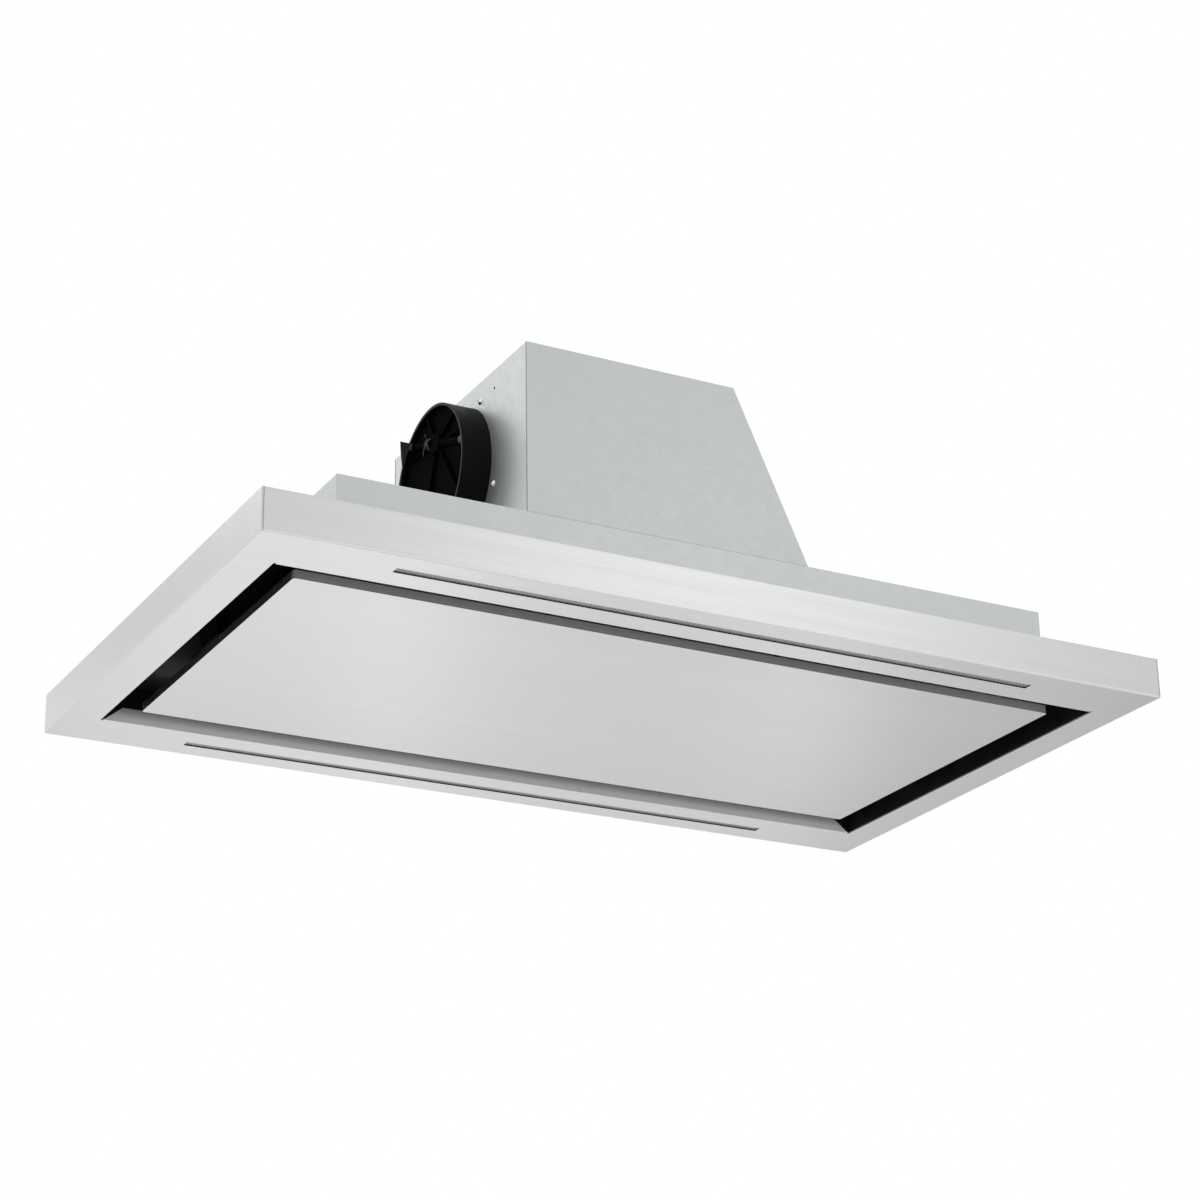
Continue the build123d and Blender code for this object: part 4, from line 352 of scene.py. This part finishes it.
def ribbed_lens(side, name):
    """The diffuser with slanting ribs underneath: a waved sheet closed by walls and a flat top."""
    steps = len(RIB_WAVE)
    columns = int((LENS_LENGTH + LENS_WIDTH) / RIB_PITCH) * steps + steps
    half = LENS_LENGTH / 2
    shape = bmesh.new()
    rows = []
    for across in (-0.5, 0.5):
        row = []
        for index in range(columns + 1):
            x = (index - columns / 2) * RIB_PITCH / steps + across * LENS_WIDTH
            x = min(max(x, -half), half)
            z = LENS_BOTTOM + RIB_DEPTH * RIB_WAVE[index % steps]
            row.append(shape.verts.new((x, side * SLOT_Y + across * LENS_WIDTH, z)))
        rows.append(row)
    near, far = rows
    for index in range(columns):
        shape.faces.new((near[index], far[index], far[index + 1], near[index + 1]))
    bmesh.ops.remove_doubles(shape, verts=shape.verts, dist=WELD_DISTANCE)
    bmesh.ops.dissolve_degenerate(shape, dist=WELD_DISTANCE, edges=shape.edges)
    rim = [edge for edge in shape.edges if edge.is_boundary]
    raised = bmesh.ops.extrude_edge_only(shape, edges=rim)["geom"]
    top_edges = [part for part in raised if isinstance(part, bmesh.types.BMEdge)]
    for part in raised:
        if isinstance(part, bmesh.types.BMVert):
            part.co.z = LENS_TOP
    bmesh.ops.contextual_create(shape, geom=top_edges)
    bmesh.ops.recalc_face_normals(shape, faces=shape.faces)
    mesh = bpy.data.meshes.new(name)
    shape.to_mesh(mesh)
    shape.free()
    mesh.materials.append(lens_grey)
    piece = bpy.data.objects.new(name, mesh)
    bpy.context.scene.collection.objects.link(piece)
    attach(piece, "root")
    return piece


for side, end in ((-1, "near"), (1, "far")):
    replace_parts(ribbed_lens(side, f"ribbed_lens_{end}"), f"lamp_diffuser_{end}")
solder_green, *_ = skinned("solder_mask", light=(0.03, 0.20, 0.09, 1), dark=(0.02, 0.15, 0.07, 1),
                           roughness=0.3)
dress(solder_green, "led_board_near", "led_board_far")


# ---- Liner -------------------------------------------------------------------------------------
# The deck over the mouth and the walls that close its short sides, of steel sheet in satin black.
# The catch's strike bracket has the same enamel.
liner_black, *_ = skinned("liner_black_enamel", light=(0.012, 0.012, 0.013, 1),
                          dark=(0.006, 0.006, 0.007, 1), roughness=0.32, grain_scale=600.0,
                          grain_depth=0.2)
dress(liner_black, "inner_liner", "catch_strike")


# ---- Perimeter panel ---------------------------------------------------------------------------
# The hinged tray of brushed stainless steel below the filters, with two hat-section stiffeners of
# galvanised sheet on its back.
FLANGE_Y, FLANGE_HEIGHTS = 0.19, (0.0047, 0.0130)
panel_steel, panel, panel_shader, _ = brushed_steel(
    "panel_brushed_steel", light=(0.59, 0.59, 0.592, 1), dark=(0.56, 0.56, 0.562, 1),
    low=0.34, high=0.44, depth=0.2)
_, panel_y, panel_z = axes_of(panel)
long_flange = all_of(panel, above(panel, either_side(panel, panel_y), FLANGE_Y),
                     between(panel, panel_z, FLANGE_HEIGHTS))
scattering(panel, panel_shader, long_flange, metallic=0.6)
dress(panel_steel, "perimeter_panel")

# Zinc coating: a faint spangle of flat crystals, each a little lighter or darker.
CLOUD_SHARE, CLOUD_SCALE = 0.6, 18.0
zinc, zinc_in, zinc_out = new_group(
    "zinc_spangle",
    {"Light": (COLOUR, (0.6, 0.62, 0.62, 1)), "Dark": (COLOUR, (0.5, 0.52, 0.52, 1)),
     "Crystal Scale": (FLOAT, 160.0), "Roughness Low": (FLOAT, 0.42),
     "Roughness High": (FLOAT, 0.55)},
    {"Color": COLOUR, "Roughness": FLOAT, "Normal": VECTOR},
)
zinc_place = add(zinc, "ShaderNodeTexCoord").outputs["Object"]
crystals = add(zinc, "ShaderNodeTexVoronoi", feature="F1",
               inputs={"Vector": zinc_place, "Scale": zinc_in["Crystal Scale"], "Randomness": 1.0})
crystal_value = add(zinc, "ShaderNodeSeparateColor", inputs={0: crystals.outputs["Color"]})
cloud = noise(zinc, zinc_place, CLOUD_SCALE, detail=4.0)
spangle = blend(zinc, "FLOAT", CLOUD_SHARE, crystal_value.outputs[0], cloud)
feed(zinc, blend(zinc, "RGBA", spangle, zinc_in["Dark"], zinc_in["Light"]), zinc_out["Color"])
feed(zinc, ramp(zinc, spangle, low=zinc_in["Roughness Low"], high=zinc_in["Roughness High"]),
     zinc_out["Roughness"])
feed(zinc, bumped(zinc, spangle, strength=0.12, distance=0.0001), zinc_out["Normal"])


def galvanised(name, light, dark, low, high, crystal_scale=160.0, metallic=1.0):
    """Zinc-coated or plated steel, its crystals finer where the scale is higher."""
    material, tree, shader = new_material(name, high, metallic)
    surface = place_group(tree, zinc, Light=light, Dark=dark, Roughness_Low=low,
                          Roughness_High=high, Crystal_Scale=crystal_scale)
    surfaced(tree, surface, shader)
    return material, tree, shader, surface


SHEET_LIGHT, SHEET_DARK = (0.53, 0.548, 0.552, 1), (0.49, 0.508, 0.512, 1)
zinc_sheet, *_ = galvanised("galvanised_sheet", SHEET_LIGHT, SHEET_DARK, low=0.40, high=0.52)
dress(zinc_sheet, "panel_stiffeners")


# ---- Hinges and catch --------------------------------------------------------------------------
# Two plated hinges at the right end, and at the left end a magnet in a black moulded case that
# holds the panel by a polished steel disc.
zinc_small, *_ = galvanised("zinc_plate", light=(0.66, 0.66, 0.64, 1), dark=(0.52, 0.52, 0.51, 1),
                            low=0.26, high=0.40, crystal_scale=700.0)
for side in ("near", "far"):
    dress(zinc_small, f"hinge_arm_{side}", f"hinge_bracket_{side}", f"hinge_pin_{side}")
polished, *_ = galvanised("polished_plate", light=(0.82, 0.82, 0.82, 1),
                          dark=(0.74, 0.74, 0.74, 1), low=0.10, high=0.18, crystal_scale=900.0)
dress(polished, "strike_disc")
BLACK_LIGHT, BLACK_DARK = (0.005, 0.005, 0.0052, 1), (0.003, 0.003, 0.0032, 1)
BLACK_GRAIN, BLACK_SPECULAR = 2200.0, 0.08
black_moulding, _, black_shader, _ = skinned("black_moulding", BLACK_LIGHT, BLACK_DARK,
                                             roughness=0.5, grain_scale=BLACK_GRAIN)
black_shader.inputs["Specular IOR Level"].default_value = BLACK_SPECULAR
dress(black_moulding, "panel_catch")


# ---- Filters -----------------------------------------------------------------------------------
# Three grease filters: folded aluminium frames round pleated mesh, each with a wire pull ring.
# The mesh is expanded metal, with diamond openings that are longer across the hood.
DIAMOND_STRETCH = 0.6
HOLE_FROM, HOLE_TO = 0.10, 0.45  # the weave's levels between which a strand gives way to a hole
woven, woven_in, woven_out = new_group(
    "expanded_mesh",
    {"Strand": (COLOUR, (0.7, 0.7, 0.7, 1)), "Hole": (COLOUR, (0.05, 0.05, 0.05, 1)),
     "Pitch": (FLOAT, 0.0022)},
    {"Color": COLOUR, "Height": FLOAT},
)
woven_x, woven_y, _ = axes_of(woven)
turns = maths(woven, "DIVIDE", 2 * math.pi, woven_in["Pitch"])
across_x = maths(woven, "MULTIPLY", woven_x, turns)
across_y = maths(woven, "MULTIPLY", maths(woven, "MULTIPLY", woven_y, turns), DIAMOND_STRETCH)
diagonals = [maths(woven, "ABSOLUTE", maths(woven, "SINE", maths(woven, way, across_x, across_y)))
             for way in ("ADD", "SUBTRACT")]
opening = maths(woven, "MULTIPLY", *diagonals)
hole_edge = ramp(woven, opening, HOLE_FROM, HOLE_TO, interpolation="SMOOTHSTEP")
feed(woven, blend(woven, "RGBA", hole_edge, woven_in["Strand"], woven_in["Hole"]),
     woven_out["Color"])
feed(woven, maths(woven, "SUBTRACT", 1.0, opening), woven_out["Height"])
filter_mesh, media, media_shader = new_material("filter_mesh", roughness=0.38)
strands = place_group(media, woven, Strand=(0.80, 0.80, 0.81, 1), Hole=(0.10, 0.10, 0.10, 1))
feed(media, strands.outputs["Color"], media_shader.inputs["Base Color"])
feed(media, bumped(media, strands.outputs["Height"], strength=0.8, distance=0.0006),
     media_shader.inputs["Normal"])
for number in (1, 2, 3):
    dress(aluminium, f"filter_frame_{number}")
    dress(filter_mesh, f"filter_media_{number}")
    dress(zinc_small, f"filter_ring_{number}")


# ---- Plenum tray -------------------------------------------------------------------------------
# The galvanised tray that stands on the deck, with its screws and the ceiling rods' washers. A
# hairline runs up each corner of its ends, where the sheets are folded to meet.
# The dark of the sheet joints, also used as painted shade on the wall of the housing's pilot hole.
JOINT_DARK_AND_PAINTED_SHADE = (0.06, 0.063, 0.063, 1)
TRAY_END_X, TRAY_SEAM_Y, TRAY_SEAM_HALF_WIDTH, TRAY_SEAM_STRENGTH = 0.3841, 0.2258, 0.0005, 0.7


def seamed_sheet(name):
    """Galvanised sheet whose dark hairlines, and any painted shade, are still to be given by the
    function below.
    """
    return galvanised(name, SHEET_LIGHT, SHEET_DARK, low=0.42, high=0.54, metallic=0.8)


# Darkens the mask's places: real joint hairlines, and painted shade where it is given.
def darken_joints_and_shade(tree, surface, shader, mask):
    feed(tree, blend(tree, "RGBA", mask, surface.outputs["Color"], JOINT_DARK_AND_PAINTED_SHADE),
         shader.inputs["Base Color"])


tray_sheet, tray, tray_shader, tray_surface = seamed_sheet("tray_sheet")
tray_x, tray_y, _ = axes_of(tray)
tray_seam = hairline(tray, either_side(tray, tray_y), TRAY_SEAM_Y, TRAY_SEAM_HALF_WIDTH)
tray_seam = all_of(tray, tray_seam, above(tray, either_side(tray, tray_x), TRAY_END_X))
darken_joints_and_shade(tray, tray_surface, tray_shader,
           maths(tray, "MULTIPLY", tray_seam, TRAY_SEAM_STRENGTH))
dress(tray_sheet, "plenum_tray")
dress(zinc_small, "hanger_plates", "canopy_screws", "deck_screws")


# ---- Blower housing ----------------------------------------------------------------------------
# A strip of galvanised sheet folded over two flat covers, with one sloped end. The covers are
# welded in flush, so each joint shows as a hairline round the edge and at the foot. The left face
# has a small pilot hole by the collar, whose wall carries painted shade.
NEAR_JOINT_Y, FAR_JOINT_Y, JOINT_HALF_WIDTH = -0.2251, 0.0718, 0.0011
FOOT_Z, FOOT_HALF_WIDTH = 0.0974, 0.0009
PILOT_Y, PILOT_Z, PILOT_RADIUS = -0.15765, 0.2538, 0.0014
LEFT_OF_X = 0.0  # the hole is in the left face alone


def from_axis(tree, y, z, centre_y, centre_z):
    """The distance from an axis that runs along X."""
    squares = [maths(tree, "POWER", maths(tree, "SUBTRACT", value, centre), 2.0)
               for value, centre in ((y, centre_y), (z, centre_z))]
    return maths(tree, "SQRT", maths(tree, "ADD", *squares))


housing_sheet, housing, housing_shader, housing_surface = seamed_sheet("housing_sheet")
housing_x, housing_y, housing_z = axes_of(housing)
# Painted shade: the pilot hole's wall is darkened as if in shadow.
from_pilot = from_axis(housing, housing_y, housing_z, PILOT_Y, PILOT_Z)
pilot_wall_shade = all_of(housing, below(housing, from_pilot, PILOT_RADIUS),
                    below(housing, housing_x, LEFT_OF_X))
housing_joints_and_shade = any_of(housing, hairline(housing, housing_y, NEAR_JOINT_Y, JOINT_HALF_WIDTH),
                      hairline(housing, housing_y, FAR_JOINT_Y, JOINT_HALF_WIDTH),
                      hairline(housing, housing_z, FOOT_Z, FOOT_HALF_WIDTH), pilot_wall_shade)
darken_joints_and_shade(housing, housing_surface, housing_shader, housing_joints_and_shade)
dress(housing_sheet, "housing_wrap", "housing_cover_near", "housing_cover_far")


# ---- Outlet collar and damper ------------------------------------------------------------------
# The moulded black collar, held to the housing's left face by four dome-head screws, and in it
# the sprung flap on its steel spindle. The edge of the bore is painted a little paler than the
# rest, a painted highlight where the edge catches the light.
BORE_EDGE_PAINTED_HIGHLIGHT = (0.055, 0.055, 0.055, 1)
COLLAR_Y, COLLAR_Z = -0.07665, 0.186
BORE_EDGE_RADIUS, BORE_EDGE_X = 0.0725, -0.2232
FLAP_SPECULAR = 0.004
collar_black, collar, collar_shader, collar_surface = skinned(
    "collar_black", BLACK_LIGHT, BLACK_DARK, roughness=0.5, grain_scale=BLACK_GRAIN)
collar_shader.inputs["Specular IOR Level"].default_value = BLACK_SPECULAR
collar_x, collar_y, collar_z = axes_of(collar)
# Painted highlight: a paler band round the mouth end of the bore.
from_bore = from_axis(collar, collar_y, collar_z, COLLAR_Y, COLLAR_Z)
bore_highlight = all_of(collar, below(collar, from_bore, BORE_EDGE_RADIUS),
                   below(collar, collar_x, BORE_EDGE_X))
feed(collar, blend(collar, "RGBA", bore_highlight, collar_surface.outputs["Color"], BORE_EDGE_PAINTED_HIGHLIGHT),
     collar_shader.inputs["Base Color"])
dress(collar_black, "outlet_collar")
flap_black, _, flap_shader, _ = skinned("flap_black", light=(0.0016, 0.0016, 0.0017, 1),
                                        dark=(0.0008, 0.0008, 0.0009, 1), roughness=0.6,
                                        grain_scale=1600.0)
flap_shader.inputs["Specular IOR Level"].default_value = FLAP_SPECULAR
dress(flap_black, "damper_flap")
dress(polished, "collar_screws")
dress(zinc_small, "damper_spindle")
spring_wire, *_ = galvanised("spring_wire", light=(0.075, 0.064, 0.040, 1),
                             dark=(0.045, 0.038, 0.024, 1), low=0.30, high=0.42,
                             crystal_scale=900.0)
dress(spring_wire, "damper_spring")


# ---- Blower ------------------------------------------------------------------------------------
# The double-inlet wheel in its scroll of galvanised sheet, with the enamelled motor on a
# three-armed plated bracket.
dress(zinc_sheet, "scroll_band", "scroll_side_near", "scroll_side_far", "inlet_ring_near",
      "inlet_ring_far", "impeller")
dress(zinc_small, "motor_shaft", "shaft_nut", "motor_bracket", "motor_bolts")
motor_enamel, *_ = skinned("motor_enamel", light=(0.03, 0.03, 0.032, 1),
                           dark=(0.02, 0.02, 0.022, 1), roughness=0.38)
dress(motor_enamel, "motor_body")


# ---- Electrics ---------------------------------------------------------------------------------
# The galvanised box on the tray, its lid held by screws, with the control board, the lamps'
# supply, the terminals and the capacitor in its clip.
dress(zinc_sheet, "electrics_box", "electrics_lid")
dress(zinc_small, "electrics_screws", "capacitor_clip")
dress(solder_green, "control_board")
white_moulding, *_ = skinned("white_moulding", light=(0.70, 0.70, 0.68, 1),
                             dark=(0.62, 0.62, 0.60, 1), roughness=0.45)
dress(white_moulding, "led_driver", "terminal_block", "capacitor")
dress(black_moulding, "cable_gland")


# ---- Studio ------------------------------------------------------------------------------------
# A pale floor well below the hood, a white surround, and soft lamps from the left, from the front
# and from below.
SURROUND_LIGHT, SURROUND_SEEN = 0.9, 1.0  # its strength as light, and as it is seen or mirrored
world = bpy.data.worlds.new("studio")
bpy.context.scene.world = world
world.use_nodes = True
sky = world.node_tree
surround = sky.nodes["Background"]
ray = add(sky, "ShaderNodeLightPath").outputs
seen = any_of(sky, ray["Is Camera Ray"], ray["Is Glossy Ray"], ray["Is Transmission Ray"])
feed(sky, ramp(sky, seen, low=SURROUND_LIGHT, high=SURROUND_SEEN), surround.inputs["Strength"])
surround.inputs["Color"].default_value = (1, 1, 1, 1)

FLOOR_DROP, FLOOR_REACH = 7.0, 40.0
floor_mesh = bpy.data.meshes.new("studio_floor")
floor_mesh.from_pydata([(x * FLOOR_REACH, y * FLOOR_REACH, -FLOOR_DROP)
                        for x, y in ((-1, -1), (1, -1), (1, 1), (-1, 1))], [], [(0, 1, 2, 3)])
floor = bpy.data.objects.new("studio_floor", floor_mesh)
bpy.context.scene.collection.objects.link(floor)
floor_paint, *_ = skinned("floor_paint", light=(0.66, 0.66, 0.66, 1), dark=(0.62, 0.62, 0.62, 1),
                          roughness=0.8, grain_scale=200.0, grain_depth=0.05, patch_scale=0.7)
floor_mesh.materials.append(floor_paint)

# Each lamp's name, place, what it points at, width and height in metres, and power in watts.
LAMPS = (
    ("lamp_left", (-1.05, 1.45, 1.15), (-0.15, -0.1, 0.2), 0.6, 0.6, 1.9),
    ("lamp_left_back", (-1.1, 2.4, 0.55), (-0.4, 0, 0.1), 0.7, 0.6, 1.0),
    ("lamp_front", (1.15, -2.4, 0.9), (0.0, 0, 0.0), 0.9, 0.7, 3.65),
    ("lamp_low_left", (0.1, 1.1, -1.3), (-0.2, -0.1, 0), 0.7, 1.0, 3.65),
    ("lamp_low_middle", (0.75, 1.2, -1.0), (0.0, -0.25, 0.0), 0.8, 0.5, 1.9),
    ("lamp_low_right", (0.9, 0.5, -0.65), (0.0, -0.3, 0.0), 0.6, 0.3, 0.5),
)
for name, place, target, width, height, power in LAMPS:
    light = bpy.data.lights.new(name, "AREA")
    light.shape = "RECTANGLE"
    light.size = width
    light.size_y = height
    light.energy = power
    lamp = bpy.data.objects.new(name, light)
    lamp.visible_camera = False
    aim = (Vector(target) - Vector(place)).to_track_quat("-Z", "Y")
    lamp.matrix_world = Matrix.Translation(place) @ aim.to_matrix().to_4x4()
    bpy.context.scene.collection.objects.link(lamp)

# The camera of the photograph: its place and aim were solved from the hood's measured corners.
CAMERA_PLACE = (-1.3262, -2.4478, -0.9940)
YAW, PITCH, ROLL = math.radians(28.526), math.radians(21.898), math.radians(-0.946)
FOCAL_LENGTH, SENSOR_WIDTH = 88.41, 36.0  # millimetres
forward = Vector((math.sin(YAW) * math.cos(PITCH), math.cos(YAW) * math.cos(PITCH),
                  math.sin(PITCH)))
level_right = Vector((math.cos(YAW), -math.sin(YAW), 0))
level_up = level_right.cross(forward)
right = level_right * math.cos(ROLL) + level_up * math.sin(ROLL)
up = level_up * math.cos(ROLL) - level_right * math.sin(ROLL)
camera_data = bpy.data.cameras.new("camera")
camera_data.lens = FOCAL_LENGTH
camera_data.sensor_width = SENSOR_WIDTH
camera_data.dof.use_dof = False
camera = bpy.data.objects.new("camera", camera_data)
turn = Matrix((right, up, -forward)).transposed()
camera.matrix_world = Matrix.Translation(CAMERA_PLACE) @ turn.to_4x4()
bpy.context.scene.collection.objects.link(camera)
bpy.context.scene.camera = camera
bpy.context.scene.view_settings.view_transform = "Standard"
